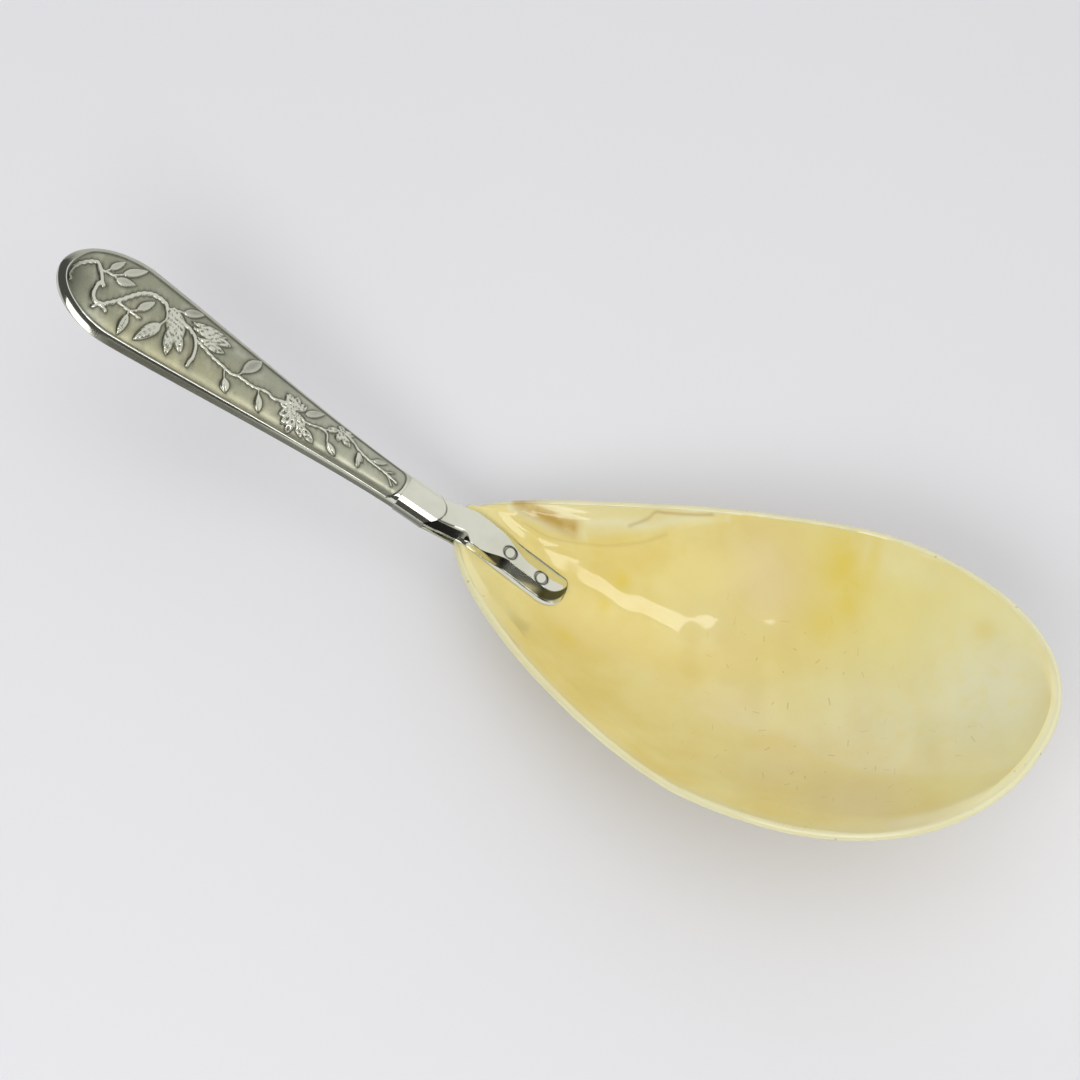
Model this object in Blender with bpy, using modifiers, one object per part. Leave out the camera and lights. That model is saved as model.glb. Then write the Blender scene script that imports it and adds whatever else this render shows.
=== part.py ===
"""Serving ladle: a carved sea-shell bowl riveted to a hollow silver handle.

Metres, +Z up. The ladle stands on the small flat ground into the belly of its bowl.
The origin is on that flat, +X runs from the handle's butt towards the bowl, and +Y is to the left.
"""
import math

import bmesh
import bpy
import numpy as np
from mathutils import Vector

MM = 0.001
FIT_GAP = 0.3 * MM  # left between pieces that touch

# Pose on the table
RIM_PITCH = math.radians(10.5)  # the rim plane climbs towards the far lip
HANDLE_PITCH = math.radians(17.0)  # the handle climbs towards its butt
REST_GRIND = 0.55 * MM  # depth ground off the belly to make the resting flat

# Bowl: the rim lies in its own plane, x from the neck along the ladle, y to the left
NECK_CUT = 4.0 * MM  # where the shell's narrow end is cut off
NECK_LEFT = 8.0 * MM
NECK_RIGHT = 2.4 * MM
NECK_LEFT_FLARE = math.radians(19.0)
NECK_RIGHT_FLARE = math.radians(47.0)
LEFT_WIDEST_AT = 97.5 * MM
LEFT_WIDEST = 39.2 * MM
RIGHT_WIDEST_AT = 79.5 * MM
RIGHT_WIDEST = 32.3 * MM
FAR_LIP = 140.0 * MM
FAR_LIP_SIDE = 12.0 * MM
NEAR_FULLNESS = 0.24  # Bezier handle over chord, neck to widest
FAR_FULLNESS = 0.61  # Bezier handle over span, widest to far lip
BOWL_DEPTH = 26.0 * MM
DEEPEST_AT = 56.0 * MM
NECK_STEEPNESS = -0.4  # the keel ends gentler than a parabola under the tongue
LIP_STEEPNESS = 0.1  # and steeper at the far lip
SECTION_FULLNESS = 2.2  # power of the bowl's cross-sections
SHELL_WALL = 2.6 * MM
RIM_ROUND = 0.7 * MM
RIM_STEPS = (16, 14, 12, 18, 6)  # right near, right far, left far, left near, neck cut
RIM_FINE_STEPS = (200, 200, 200, 200, 200)  # for reading the rim's edges
BOWL_RINGS = 13

# Hollow handle, measured from its butt
HANDLE_LENGTH = 91.2 * MM
BUTT_WIDTH = 21.1 * MM
BUTT_ROUND = 17.0 * MM  # length of the rounded end, in plan
BUTT_THICK = 8.0 * MM
BUTT_THICK_ROUND = 6.0 * MM  # length of the rounded end, from the side
TAPER_POWERS = (1.2, 1.5)  # how the width runs from butt to neck
HANDLE_NECK_WIDTH = 8.7 * MM
HANDLE_NECK_THICK = 7.7 * MM
SECTION_POWER = 2.3  # superellipse power of the cross-section
SHEET = 0.45 * MM  # silver sheet
PANEL_SINK = 0.4 * MM  # the decorated panel lies this far below its border
BUTT_BORDER = 1.7 * MM
NECK_BORDER = 0.5 * MM
PANEL_END_ROUND = 2.4 * MM  # length of the panel's rounded neck end, in plan
SECTION_STEPS = 28
END_STEPS = 7  # stations over the rounded butt
TAPER_STEPS = 10  # stations from there to the neck

# Ferrule
FERRULE_SETBACK = 1.4 * MM  # its front end stops this far behind the neck point
FERRULE_LENGTH = 10.3 * MM
FERRULE_WIDTH = 8.3 * MM
FERRULE_THICK = 7.3 * MM
FERRULE_WALL = 0.6 * MM
FERRULE_LIP = 3.4 * MM  # the arched front end reaches this far past its sides
SHOULDER_STEP = 0.2 * MM  # tongue and strap start this far under the ferrule's face

# Tongue inside the bowl, with its tang, and the strap under the bowl
TONGUE_TIP = 27.0 * MM
TONGUE_WIDTH = 8.8 * MM
TONGUE_SIDE = 1.0 * MM  # tongue and strap lie this far left of the handle's line
TONGUE_THICK = 2.3 * MM
TONGUE_EDGE = 0.9 * MM
TONGUE_TIP_ROUND = 3.6 * MM
STRAP_DOME = 3.0  # power of the tongue's and the strap's rounded edges
BLUNT_END = 0.28  # width left at the very tip, as a share
STRAP_TIP = 25.5 * MM
STRAP_WIDTH = 7.6 * MM
STRAP_THICK = 1.3 * MM
STRAP_EDGE = 0.7 * MM
ROOT_WIDTH = 4.8 * MM  # tongue and strap inside the ferrule
ROOT_THICK = 1.7 * MM
STRAP_ROOT_LENGTH = 9.0 * MM
TANG_LENGTH = 40.0 * MM
TANG_END = 1.6 * MM
TANG_BARE = 4.0 * MM  # the end of the tang stands this far past the cement

# Rivets
RIVET_AT = {"rivet_front": (21.1 * MM, 1.3 * MM), "rivet_rear": (13.7 * MM, 1.6 * MM)}
RIVET_SHANK = 2.2 * MM
RIVET_HEAD = 3.2 * MM
RIVET_SINK = 0.7 * MM  # depth of the countersunk head
RIVET_PROUD = 0.15 * MM
RIVET_CROWN = 0.7  # the head's low dome begins at this share of its radius
RIVET_STEPS = 18
PAST = 3.0 * MM  # cutters run this far past the faces they open

BEND = RIM_PITCH + HANDLE_PITCH  # between the handle's line and the rim plane
FERRULE_BORE = np.array([FERRULE_WIDTH, FERRULE_THICK]) / 2 - FERRULE_WALL
FERRULE_BACK = -FERRULE_SETBACK - FERRULE_LENGTH
HANDLE_END = FERRULE_BACK - FIT_GAP
BUTT_END = HANDLE_END - HANDLE_LENGTH
ACROSS = np.linspace(-1.0, 1.0, 9)  # shares of a strap's half-width


def clear_scene():
    for old in list(bpy.data.objects):
        bpy.data.objects.remove(old, do_unlink=True)


def make_collection(name):
    made = bpy.data.collections.new(name)
    bpy.context.scene.collection.children.link(made)
    return made


def make_material(name, color, roughness, metallic):
    made = bpy.data.materials.new(name)
    made.use_nodes = True
    shader = made.node_tree.nodes["Principled BSDF"]
    shader.inputs["Base Color"].default_value = (*color, 1.0)
    shader.inputs["Roughness"].default_value = roughness
    shader.inputs["Metallic"].default_value = metallic
    return made


def make_object(name, mesh, parent, material=None):
    """A part when it has a material, and otherwise a cutter."""
    made = bpy.data.objects.new(name, mesh)
    made.parent = parent
    if material:
        parts.objects.link(made)
        mesh.materials.append(material)
    else:
        cutters.objects.link(made)
        made.hide_render = True
        made.display_type = "WIRE"
    return made


def make_frame(name, parent=None, pitch=0.0):
    """An empty whose x axis dips by pitch."""
    made = bpy.data.objects.new(name, None)
    made.parent = parent
    made.rotation_euler.y = pitch
    parts.objects.link(made)
    return made


def cut(target, tool, operation="DIFFERENCE"):
    step = target.modifiers.new(f"{operation.lower()}_{tool.name}", "BOOLEAN")
    step.object = tool
    step.operation = operation
    step.solver = "EXACT"


def make_box(name, low, high, parent):
    """A cutter box between two corners."""
    mesh = bpy.data.meshes.new(name)
    body = bmesh.new()
    bmesh.ops.create_cube(body, size=1.0)
    bmesh.ops.scale(body, vec=Vector(high) - Vector(low), verts=body.verts)
    bmesh.ops.translate(body, vec=(Vector(high) + Vector(low)) / 2, verts=body.verts)
    body.to_mesh(mesh)
    body.free()
    return make_object(name, mesh, parent)


def loft(name, rings, tip=None):
    """Skin over closed rings of equal count, shut by flat ends or, where tip is given, by a point there."""
    around = rings.shape[1]
    body = bmesh.new()
    rows = [[body.verts.new(point) for point in ring] for ring in rings]
    for row, following in zip(rows, rows[1:]):
        for i in range(around):
            j = (i + 1) % around
            body.faces.new((row[i], row[j], following[j], following[i]))
    if tip is None:
        body.faces.new(rows[0])
    else:
        point = body.verts.new(tip)
        for i in range(around):
            body.faces.new((point, rows[0][i], rows[0][(i + 1) % around]))
    body.faces.new(rows[-1])
    bmesh.ops.recalc_face_normals(body, faces=body.faces)
    mesh = bpy.data.meshes.new(name)
    body.to_mesh(mesh)
    body.free()
    mesh.shade_smooth()
    mesh.set_sharp_from_angle(angle=math.radians(35))
    return mesh


def bezier(start, start_handle, end_handle, end, count):
    t = np.linspace(0.0, 1.0, count, endpoint=False)[:, None]
    return (
        (1 - t) ** 3 * start
        + 3 * (1 - t) ** 2 * t * start_handle
        + 3 * (1 - t) * t**2 * end_handle
        + t**3 * end
    )


def rim_arcs(steps):
    """The rim in plan as five arcs, anticlockwise from the neck's right corner."""
    ahead = np.array([1.0, 0.0])
    left = np.array([0.0, 1.0])
    neck_right = np.array([NECK_CUT, -NECK_RIGHT])
    neck_left = np.array([NECK_CUT, NECK_LEFT])
    right = np.array([RIGHT_WIDEST_AT, -RIGHT_WIDEST])
    lip = np.array([FAR_LIP, FAR_LIP_SIDE])
    wide = np.array([LEFT_WIDEST_AT, LEFT_WIDEST])
    right_out = np.array([math.cos(NECK_RIGHT_FLARE), -math.sin(NECK_RIGHT_FLARE)])
    left_out = np.array([math.cos(NECK_LEFT_FLARE), math.sin(NECK_LEFT_FLARE)])
    right_reach = NEAR_FULLNESS * np.linalg.norm(right - neck_right)
    left_reach = NEAR_FULLNESS * np.linalg.norm(wide - neck_left)
    ahead_right, side_right = FAR_FULLNESS * (lip - right)
    ahead_left, side_left = FAR_FULLNESS * np.abs(lip - wide)
    third = (neck_right - neck_left) / 3
    corners = (
        (neck_right, neck_right + right_reach * right_out, right - right_reach * ahead, right),
        (right, right + ahead_right * ahead, lip - side_right * left, lip),
        (lip, lip + side_left * left, wide + ahead_left * ahead, wide),
        (wide, wide - left_reach * ahead, neck_left + left_reach * left_out, neck_left),
        (neck_left, neck_left + third, neck_right - third, neck_right),
    )
    return [bezier(*four, count) for four, count in zip(corners, steps)]


def rim_sides(x):
    """The rim's right and left edges at a distance from the neck."""
    right_near, right_far, left_far, left_near, neck = rim_arcs(RIM_FINE_STEPS)
    right = np.vstack([right_near, right_far, left_far[:1]])
    left = np.vstack([left_far, left_near, neck[:1]])[::-1]
    return np.interp(x, right[:, 0], right[:, 1]), np.interp(x, left[:, 0], left[:, 1])


def keel_depth(x):
    """Depth of the bowl's keel under the rim plane: a parabola each way, eased at both ends."""
    near = np.clip((DEEPEST_AT - x) / (DEEPEST_AT - NECK_CUT), 0.0, None) ** 2
    far = np.clip((x - DEEPEST_AT) / (FAR_LIP - DEEPEST_AT), 0.0, None) ** 2
    return BOWL_DEPTH * (1 - near - far) * (1 + NECK_STEEPNESS * near + LIP_STEEPNESS * far)


def inner_height(x, y):
    """Height of the bowl's inner face over the rim plane at any point in plan."""
    x = np.asarray(x, float)
    right, left = rim_sides(x)
    share = np.abs(y - (left + right) / 2) / np.maximum((left - right) / 2, RIM_ROUND)
    return -keel_depth(x) * (1 - share**SECTION_FULLNESS)


def inner_normal(x, y):
    """Unit normal of the bowl's inner face, pointing into the bowl."""
    step = 0.2 * MM
    slope_x = (inner_height(x + step, y) - inner_height(x - step, y)) / (2 * step)
    slope_y = (inner_height(x, y + step) - inner_height(x, y - step)) / (2 * step)
    normal = np.stack([-slope_x, -slope_y, np.ones_like(slope_x)], axis=-1)
    return normal / np.linalg.norm(normal, axis=-1, keepdims=True)


def over_inner_face(x, y, lift):
    """Points at a distance over the bowl's inner face, measured square to it."""
    x = np.asarray(x, float)
    y = np.asarray(y, float)
    foot = np.stack([x, y, inner_height(x, y)], axis=-1)
    return foot + inner_normal(x, y) * np.asarray(lift)[..., None]


def make_shell_bowl():
    """Inner face as rings that shrink from the rim to the deepest spot, thickened outwards."""
    rim = np.vstack(rim_arcs(RIM_STEPS))
    deepest = np.array([DEEPEST_AT, np.mean(rim_sides(DEEPEST_AT))])
    body = bmesh.new()
    centre = body.verts.new((*deepest, -BOWL_DEPTH))
    rows = []
    for ring in range(1, BOWL_RINGS + 1):
        plan = deepest + (rim - deepest) * ring / BOWL_RINGS
        height = inner_height(*plan.T) if ring < BOWL_RINGS else np.zeros(len(rim))
        rows.append([body.verts.new((*spot, level)) for spot, level in zip(plan, height)])
    for i in range(len(rim)):
        j = (i + 1) % len(rim)
        body.faces.new((centre, rows[0][i], rows[0][j]))
        for row, following in zip(rows, rows[1:]):
            body.faces.new((row[i], following[i], following[j], row[j]))
    mesh = bpy.data.meshes.new("shell_bowl")
    body.to_mesh(mesh)
    body.free()
    mesh.shade_smooth()
    bowl = make_object("shell_bowl", mesh, rim_frame, sea_shell)
    wall = bowl.modifiers.new("wall", "SOLIDIFY")
    wall.thickness = SHELL_WALL
    wall.offset = -1.0
    wall.use_even_offset = True
    rounding = bowl.modifiers.new("rim", "BEVEL")
    rounding.width = RIM_ROUND
    rounding.segments = 2
    rounding.limit_method = "ANGLE"
    rounding.angle_limit = math.radians(60)
    return bowl


def stand_on_table(bowl):
    """Drops the ladle onto its belly, lowest spot over the origin, and grinds the resting flat there."""
    bpy.context.view_layer.update()
    solid = bowl.evaluated_get(bpy.context.evaluated_depsgraph_get())
    spots = [solid.matrix_world @ vertex.co for vertex in solid.data.vertices]
    lowest = min(spots, key=lambda spot: spot.z)
    ladle.location = (-lowest.x, -lowest.y, -lowest.z - REST_GRIND)
    table = make_box("table", (-FAR_LIP, -FAR_LIP, -BOWL_DEPTH), (FAR_LIP, FAR_LIP, 0.0), None)
    cut(bowl, table)


def handle_outline(s, inset):
    """Half-width of the handle in plan at a distance from its butt, set in all round by inset."""
    body = np.clip((s - BUTT_ROUND) / (HANDLE_LENGTH - BUTT_ROUND), 0.0, 1.0)
    taper = (1 - body ** TAPER_POWERS[0]) ** TAPER_POWERS[1]
    width = HANDLE_NECK_WIDTH + (BUTT_WIDTH - HANDLE_NECK_WIDTH) * taper
    return (width / 2 - inset) * round_end(s, BUTT_ROUND, inset)


def round_end(s, length, inset):
    """Quarter ellipse from 0 at an inset end to 1 where its rounding stops."""
    left = np.clip(1 - (s - inset) / (length - inset), 0.0, 1.0)
    return np.sqrt(1 - left**2)


def superellipse(half_width, half_thick, around):
    """Points of a section that is fuller than an ellipse."""
    power = 2 / SECTION_POWER
    across = half_width * np.sign(np.cos(around)) * np.abs(np.cos(around)) ** power
    high = half_thick * np.sign(np.sin(around)) * np.abs(np.sin(around)) ** power
    return across, high


def section_turns():
    return np.linspace(0.0, 2 * math.pi, SECTION_STEPS, endpoint=False)[None]


def rounded_stations(start, end):
    """Distances from the butt, closer together over its rounded end, with the start itself left out."""
    turns = np.linspace(0.0, math.pi / 2, END_STEPS)[1:]
    rounded = start + (BUTT_ROUND - start) * (1 - np.cos(turns))
    return np.r_[rounded, np.linspace(BUTT_ROUND, end, TAPER_STEPS)[1:]]


def handle_body(name, side, front, back, past=0.0, material=None):
    """Solid handle whose sides, front and back are set in; the butt is set in as the sides are."""
    s = rounded_stations(side, HANDLE_LENGTH + past)[:, None]
    around = section_turns()
    thick = BUTT_THICK + (HANDLE_NECK_THICK - BUTT_THICK) * s / HANDLE_LENGTH
    set_in = np.where(np.sin(around) > 0, front, back)
    deep = (thick / 2 - set_in) * round_end(s, BUTT_THICK_ROUND, side)
    across, high = superellipse(handle_outline(s, side), deep, around)
    along = np.broadcast_to(BUTT_END + s, across.shape)
    mesh = loft(name, np.stack([along, across, high], axis=-1), (BUTT_END + side, 0.0, 0.0))
    return make_object(name, mesh, handle_frame, material)


def make_panel_cutter():
    """The space over the sunk panel: its raised outline, less the handle set in by the sink."""
    end = HANDLE_LENGTH - NECK_BORDER
    turns = np.linspace(0.0, math.pi / 2, END_STEPS)[1:-1]
    closing = end - PANEL_END_ROUND * (1 - np.sin(turns))
    s = np.r_[rounded_stations(BUTT_BORDER, end - PANEL_END_ROUND), closing]
    border = BUTT_BORDER + (NECK_BORDER - BUTT_BORDER) * s / HANDLE_LENGTH
    half = (handle_outline(s, 0.0) - border) * round_end(s, BUTT_ROUND, BUTT_BORDER)
    half *= round_end(end - s, PANEL_END_ROUND, 0.0)
    along = BUTT_END + np.r_[s, s[::-1]]
    outline = np.stack([along, np.r_[half, -half[::-1]], 0 * along], axis=-1)
    mesh = loft("panel", np.stack([outline, outline + [0.0, 0.0, BUTT_THICK]]))
    cutter = make_object("panel", mesh, handle_frame)
    cut(cutter, handle_body("panel_floor", PANEL_SINK, PANEL_SINK, PANEL_SINK, PAST))
    return cutter


def make_handle_halves():
    """Two sheet halves, open at the neck: a front with a sunk panel and a plain back."""
    hollow = handle_body("hollow", SHEET, SHEET + PANEL_SINK, SHEET, PAST)
    wide, thick = BUTT_WIDTH, BUTT_THICK
    start, end = BUTT_END - PAST, HANDLE_END + PAST
    below = make_box("below_seam", (start, -wide, -thick), (end, wide, FIT_GAP / 2), handle_frame)
    above = make_box("above_seam", (start, -wide, -FIT_GAP / 2), (end, wide, thick), handle_frame)
    front = handle_body("handle_front", 0.0, 0.0, 0.0, material=oxidised_silver)
    back = handle_body("handle_back", 0.0, 0.0, 0.0, material=polished_silver)
    for half, other_side in ((front, below), (back, above)):
        cut(half, hollow)
        cut(half, other_side)
    cut(front, make_panel_cutter())


def lip_line(y):
    """Where the ferrule's arched front end lies along the handle."""
    return -FERRULE_SETBACK - FERRULE_LIP * (y / (FERRULE_WIDTH / 2)) ** 2


def make_ferrule():
    """Tube between handle and bowl with an arched front end."""
    outer_y, outer_z = superellipse(FERRULE_WIDTH / 2, FERRULE_THICK / 2, section_turns())
    shares = np.linspace(0.0, 1.0, 3)[:, None]
    along = FERRULE_BACK + shares * (lip_line(outer_y) - FERRULE_BACK)
    rings = np.stack(np.broadcast_arrays(along, outer_y, outer_z), axis=-1)
    tube = make_object("ferrule", loft("ferrule", rings), handle_frame, polished_silver)
    bore_y, bore_z = superellipse(*FERRULE_BORE, section_turns())
    ends = np.array([FERRULE_BACK - PAST, PAST])[:, None]
    bore = np.stack(np.broadcast_arrays(ends, bore_y, bore_z), axis=-1)
    cut(tube, make_object("ferrule_bore", loft("ferrule_bore", bore), handle_frame))


def handle_to_rim(points):
    """From the handle's frame to the rim plane's frame: both start at the neck."""
    x, y, z = np.moveaxis(points, -1, 0)
    ahead = x * math.cos(BEND) + z * math.sin(BEND)
    above = z * math.cos(BEND) - x * math.sin(BEND)
    return np.stack([ahead, y, above], axis=-1)


def flat_ring(x, half, low, high, follow_lip=False):
    """Ring of a bar in the handle's frame, brought to the rim plane's frame."""
    y = half * np.r_[ACROSS, ACROSS[::-1]]
    z = np.r_[np.full(ACROSS.size, low), np.broadcast_to(high, ACROSS.size)]
    return handle_to_rim(np.stack([x + (lip_line(y) if follow_lip else 0 * y), y, z], axis=-1))


def shoulder_rings(low, high):
    """A root grown, at the ferrule's lip, to just under the ferrule's face on the side of high."""
    wide = FERRULE_WIDTH / 2 - FIT_GAP
    share = np.abs(ACROSS) * wide / (FERRULE_WIDTH / 2)
    face = FERRULE_THICK / 2 * (1 - share**SECTION_POWER) ** (1 / SECTION_POWER) - SHOULDER_STEP
    side = math.copysign(1.0, high)
    return [
        flat_ring(FIT_GAP, ROOT_WIDTH / 2, low, high, True),
        flat_ring(FIT_GAP, wide, low + side * FIT_GAP, side * face, True),
    ]


def strap_rings(tip, width, thick, edge, near, sign):
    """Rings of a domed strap lying along the bowl: over its inner face, or under its outer one."""
    start = NECK_CUT + FIT_GAP
    straight = np.linspace(start, tip - TONGUE_TIP_ROUND, 7)
    turns = np.linspace(0.0, math.pi / 2, 5)[1:]
    stations = np.r_[straight, tip - TONGUE_TIP_ROUND * (1 - np.sin(turns))]
    shrink = np.maximum(round_end(tip - stations, TONGUE_TIP_ROUND, 0.0), BLUNT_END)
    rings = []
    for x, share in zip(stations, shrink):
        y = TONGUE_SIDE + ACROSS * width / 2 * share
        full = edge + (thick - edge) * share
        top = edge * share + (full - edge * share) * (1 - np.abs(ACROSS) ** STRAP_DOME)
        close = over_inner_face(np.full(y.size, x), y, np.full(y.size, near))
        away = over_inner_face(np.full(y.size, x), y, near + sign * top)
        rings.append(np.vstack([close, away[::-1]]))
    return rings


def tang_rings(gap):
    """Square tang from its end in the handle to the root of the tongue, widened all round by gap."""
    half = ROOT_WIDTH / 2 + gap
    low = FIT_GAP / 2 - gap
    high = FIT_GAP / 2 + ROOT_THICK + gap
    end = TANG_END / 2 + gap
    return [
        flat_ring(FERRULE_BACK - TANG_LENGTH - gap, end, -end, end),
        flat_ring(FERRULE_BACK, half, low, high),
    ]


def make_tongue():
    """Tang, root and shoulder in one with the tongue that lies on the bowl's inner face."""
    low = FIT_GAP / 2
    strap = strap_rings(TONGUE_TIP, TONGUE_WIDTH, TONGUE_THICK, TONGUE_EDGE, FIT_GAP, 1.0)
    rings = [*tang_rings(0.0), *shoulder_rings(low, low + ROOT_THICK), *strap]
    return make_object("tongue", loft("tongue", np.array(rings)), rim_frame, polished_silver)


def make_back_strap():
    """Strap under the bowl, rooted in the ferrule below the tongue."""
    high = -FIT_GAP / 2
    near = -SHELL_WALL - FIT_GAP
    strap = strap_rings(STRAP_TIP, STRAP_WIDTH, STRAP_THICK, STRAP_EDGE, near, -1.0)
    root = flat_ring(-FERRULE_SETBACK - STRAP_ROOT_LENGTH, ROOT_WIDTH / 2, high, high - ROOT_THICK)
    rings = [root, *shoulder_rings(high, high - ROOT_THICK), *strap]
    return make_object("back_strap", loft("back_strap", np.array(rings)), rim_frame, polished_silver)


def rivet_profile(gap):
    """Half outline of a rivet with countersunk ends, grown by gap; z is 0 on the bowl's inner face."""
    shank = RIVET_SHANK / 2 + gap
    head = RIVET_HEAD / 2 + gap
    top = FIT_GAP + TONGUE_THICK
    foot = -SHELL_WALL - FIT_GAP - STRAP_THICK
    crown = RIVET_PROUD + (PAST if gap else 0.0)
    return [
        (0.0, top + crown),
        (head * RIVET_CROWN, top + crown - RIVET_PROUD / 3),
        (head, top + crown - RIVET_PROUD),
        (head, top - gap),
        (shank, top - RIVET_SINK),
        (shank, foot + RIVET_SINK),
        (head, foot + gap),
        (head, foot - crown + RIVET_PROUD),
        (head * RIVET_CROWN, foot - crown + RIVET_PROUD / 3),
        (0.0, foot - crown),
    ]


def make_rivet(name, place, gap, material=None):
    """A turned rivet set square to the bowl's inner face; grown by gap it is the cutter of its hole."""
    profile = rivet_profile(gap)
    mesh = bpy.data.meshes.new(name)
    edges = [(i, i + 1) for i in range(len(profile) - 1)]
    mesh.from_pydata([(radius, 0.0, level) for radius, level in profile], edges, [])
    made = make_object(name, mesh, rim_frame, material)
    turn = made.modifiers.new("turn", "SCREW")
    turn.axis = "Z"
    turn.steps = RIVET_STEPS
    turn.render_steps = RIVET_STEPS
    turn.use_merge_vertices = True
    turn.merge_threshold = 0.00001
    turn.use_smooth_shade = True
    x, y = np.array(place)
    made.location = (x, y, float(inner_height(x, y)))
    made.rotation_mode = "QUATERNION"
    upright = Vector((0.0, 0.0, 1.0))
    made.rotation_quaternion = upright.rotation_difference(Vector(inner_normal(x, y)))
    return made


def make_cement():
    """Cement round the tang, filling the neck end of the hollow handle."""
    inset = SHEET + FIT_GAP
    cement = handle_body("handle_cement", inset, inset + PANEL_SINK, inset, material=cement_resin)
    low = (FERRULE_BACK - TANG_LENGTH + TANG_BARE, -BUTT_WIDTH, -BUTT_THICK)
    high = (HANDLE_END + PAST, BUTT_WIDTH, BUTT_THICK)
    cut(cement, make_box("cement_length", low, high, handle_frame), "INTERSECT")
    end, neck = tang_rings(FIT_GAP)
    ahead = neck - neck.mean(axis=0) + flat_ring(FERRULE_BACK + PAST, 0.0, 0.0, 0.0)
    socket = loft("tang_socket", np.array([end, neck, ahead]))
    cut(cement, make_object("tang_socket", socket, rim_frame))


clear_scene()
parts = make_collection("shell_ladle")
cutters = make_collection("cutters")
sea_shell = make_material("sea_shell", (0.71, 0.58, 0.21), 0.25, 0.0)
polished_silver = make_material("polished_silver", (0.80, 0.81, 0.76), 0.12, 1.0)
oxidised_silver = make_material("oxidised_silver", (0.42, 0.43, 0.36), 0.42, 1.0)
cement_resin = make_material("cement_resin", (0.12, 0.09, 0.06), 0.8, 0.0)

ladle = make_frame("ladle")
rim_frame = make_frame("rim_frame", ladle, -RIM_PITCH)
handle_frame = make_frame("handle_frame", ladle, HANDLE_PITCH)

shell_bowl = make_shell_bowl()
tongue = make_tongue()
back_strap = make_back_strap()
make_ferrule()
make_handle_halves()
make_cement()
stand_on_table(shell_bowl)
for rivet_name, rivet_place in RIVET_AT.items():
    make_rivet(rivet_name, rivet_place, 0.0, polished_silver)
    rivet_hole = make_rivet(rivet_name + "_hole", rivet_place, FIT_GAP)
    for piece in (tongue, shell_bowl, back_strap):
        cut(piece, rivet_hole)
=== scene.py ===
import math

import bmesh
import bpy
import numpy as np
from mathutils import Euler, Matrix


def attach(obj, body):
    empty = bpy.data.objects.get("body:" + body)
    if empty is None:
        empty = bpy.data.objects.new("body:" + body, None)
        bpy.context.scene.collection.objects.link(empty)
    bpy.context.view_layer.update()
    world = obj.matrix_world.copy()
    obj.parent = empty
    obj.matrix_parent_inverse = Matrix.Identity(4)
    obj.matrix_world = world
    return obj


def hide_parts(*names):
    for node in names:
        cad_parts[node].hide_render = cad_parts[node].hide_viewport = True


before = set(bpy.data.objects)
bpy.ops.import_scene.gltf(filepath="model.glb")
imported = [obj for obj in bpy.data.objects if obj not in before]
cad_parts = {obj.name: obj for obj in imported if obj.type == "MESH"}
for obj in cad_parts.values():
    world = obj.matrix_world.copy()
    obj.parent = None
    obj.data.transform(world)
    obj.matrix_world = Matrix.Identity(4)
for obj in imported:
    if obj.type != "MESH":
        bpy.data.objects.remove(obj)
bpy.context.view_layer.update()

mm = 0.001
print("frame loaded:", ", ".join(sorted(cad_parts)))

# bowl and handle both start at the neck point (mm), the rim plane rising ahead of it and the handle behind it
neckPoint = np.array([-52.1808, 0.6259, 18.0333])
rimRise = math.radians(10.5)
handleRise = math.radians(-17.0)
fitGap = 0.3  # between pieces that leave room for solder or cement
snugGap = 0.06  # between pieces that press together in the real ladle


def smooth(low, high, x):
    # 0 below low, 1 above high, an S of 3t^2 - 2t^3 between
    t = np.clip((x - low) / (high - low), 0, 1)
    return t * t * (3 - 2 * t)


def roundEnd(s, length):
    # quarter ellipse: 0 at an end, 1 where its rounding stops
    left = np.clip(1 - s / length, 0, 1)
    return np.sqrt(1 - left ** 2)


def turned(points, rise):
    # along and above turned by a rise, across as it was
    along, across, above = np.moveaxis(points, -1, 0)
    ahead = along * math.cos(rise) - above * math.sin(rise)
    up = along * math.sin(rise) + above * math.cos(rise)
    return np.stack([ahead, across, up], -1)


def place(points, rise):
    # millimetres along, across and above a line leaving the neck at a rise, to metres in the part's frame
    return (neckPoint + turned(points, rise)) * mm


def newObject(name, data):
    # an object of the scene, at the origin
    made = bpy.data.objects.new(name, data)
    bpy.context.scene.collection.objects.link(made)
    return made


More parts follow.
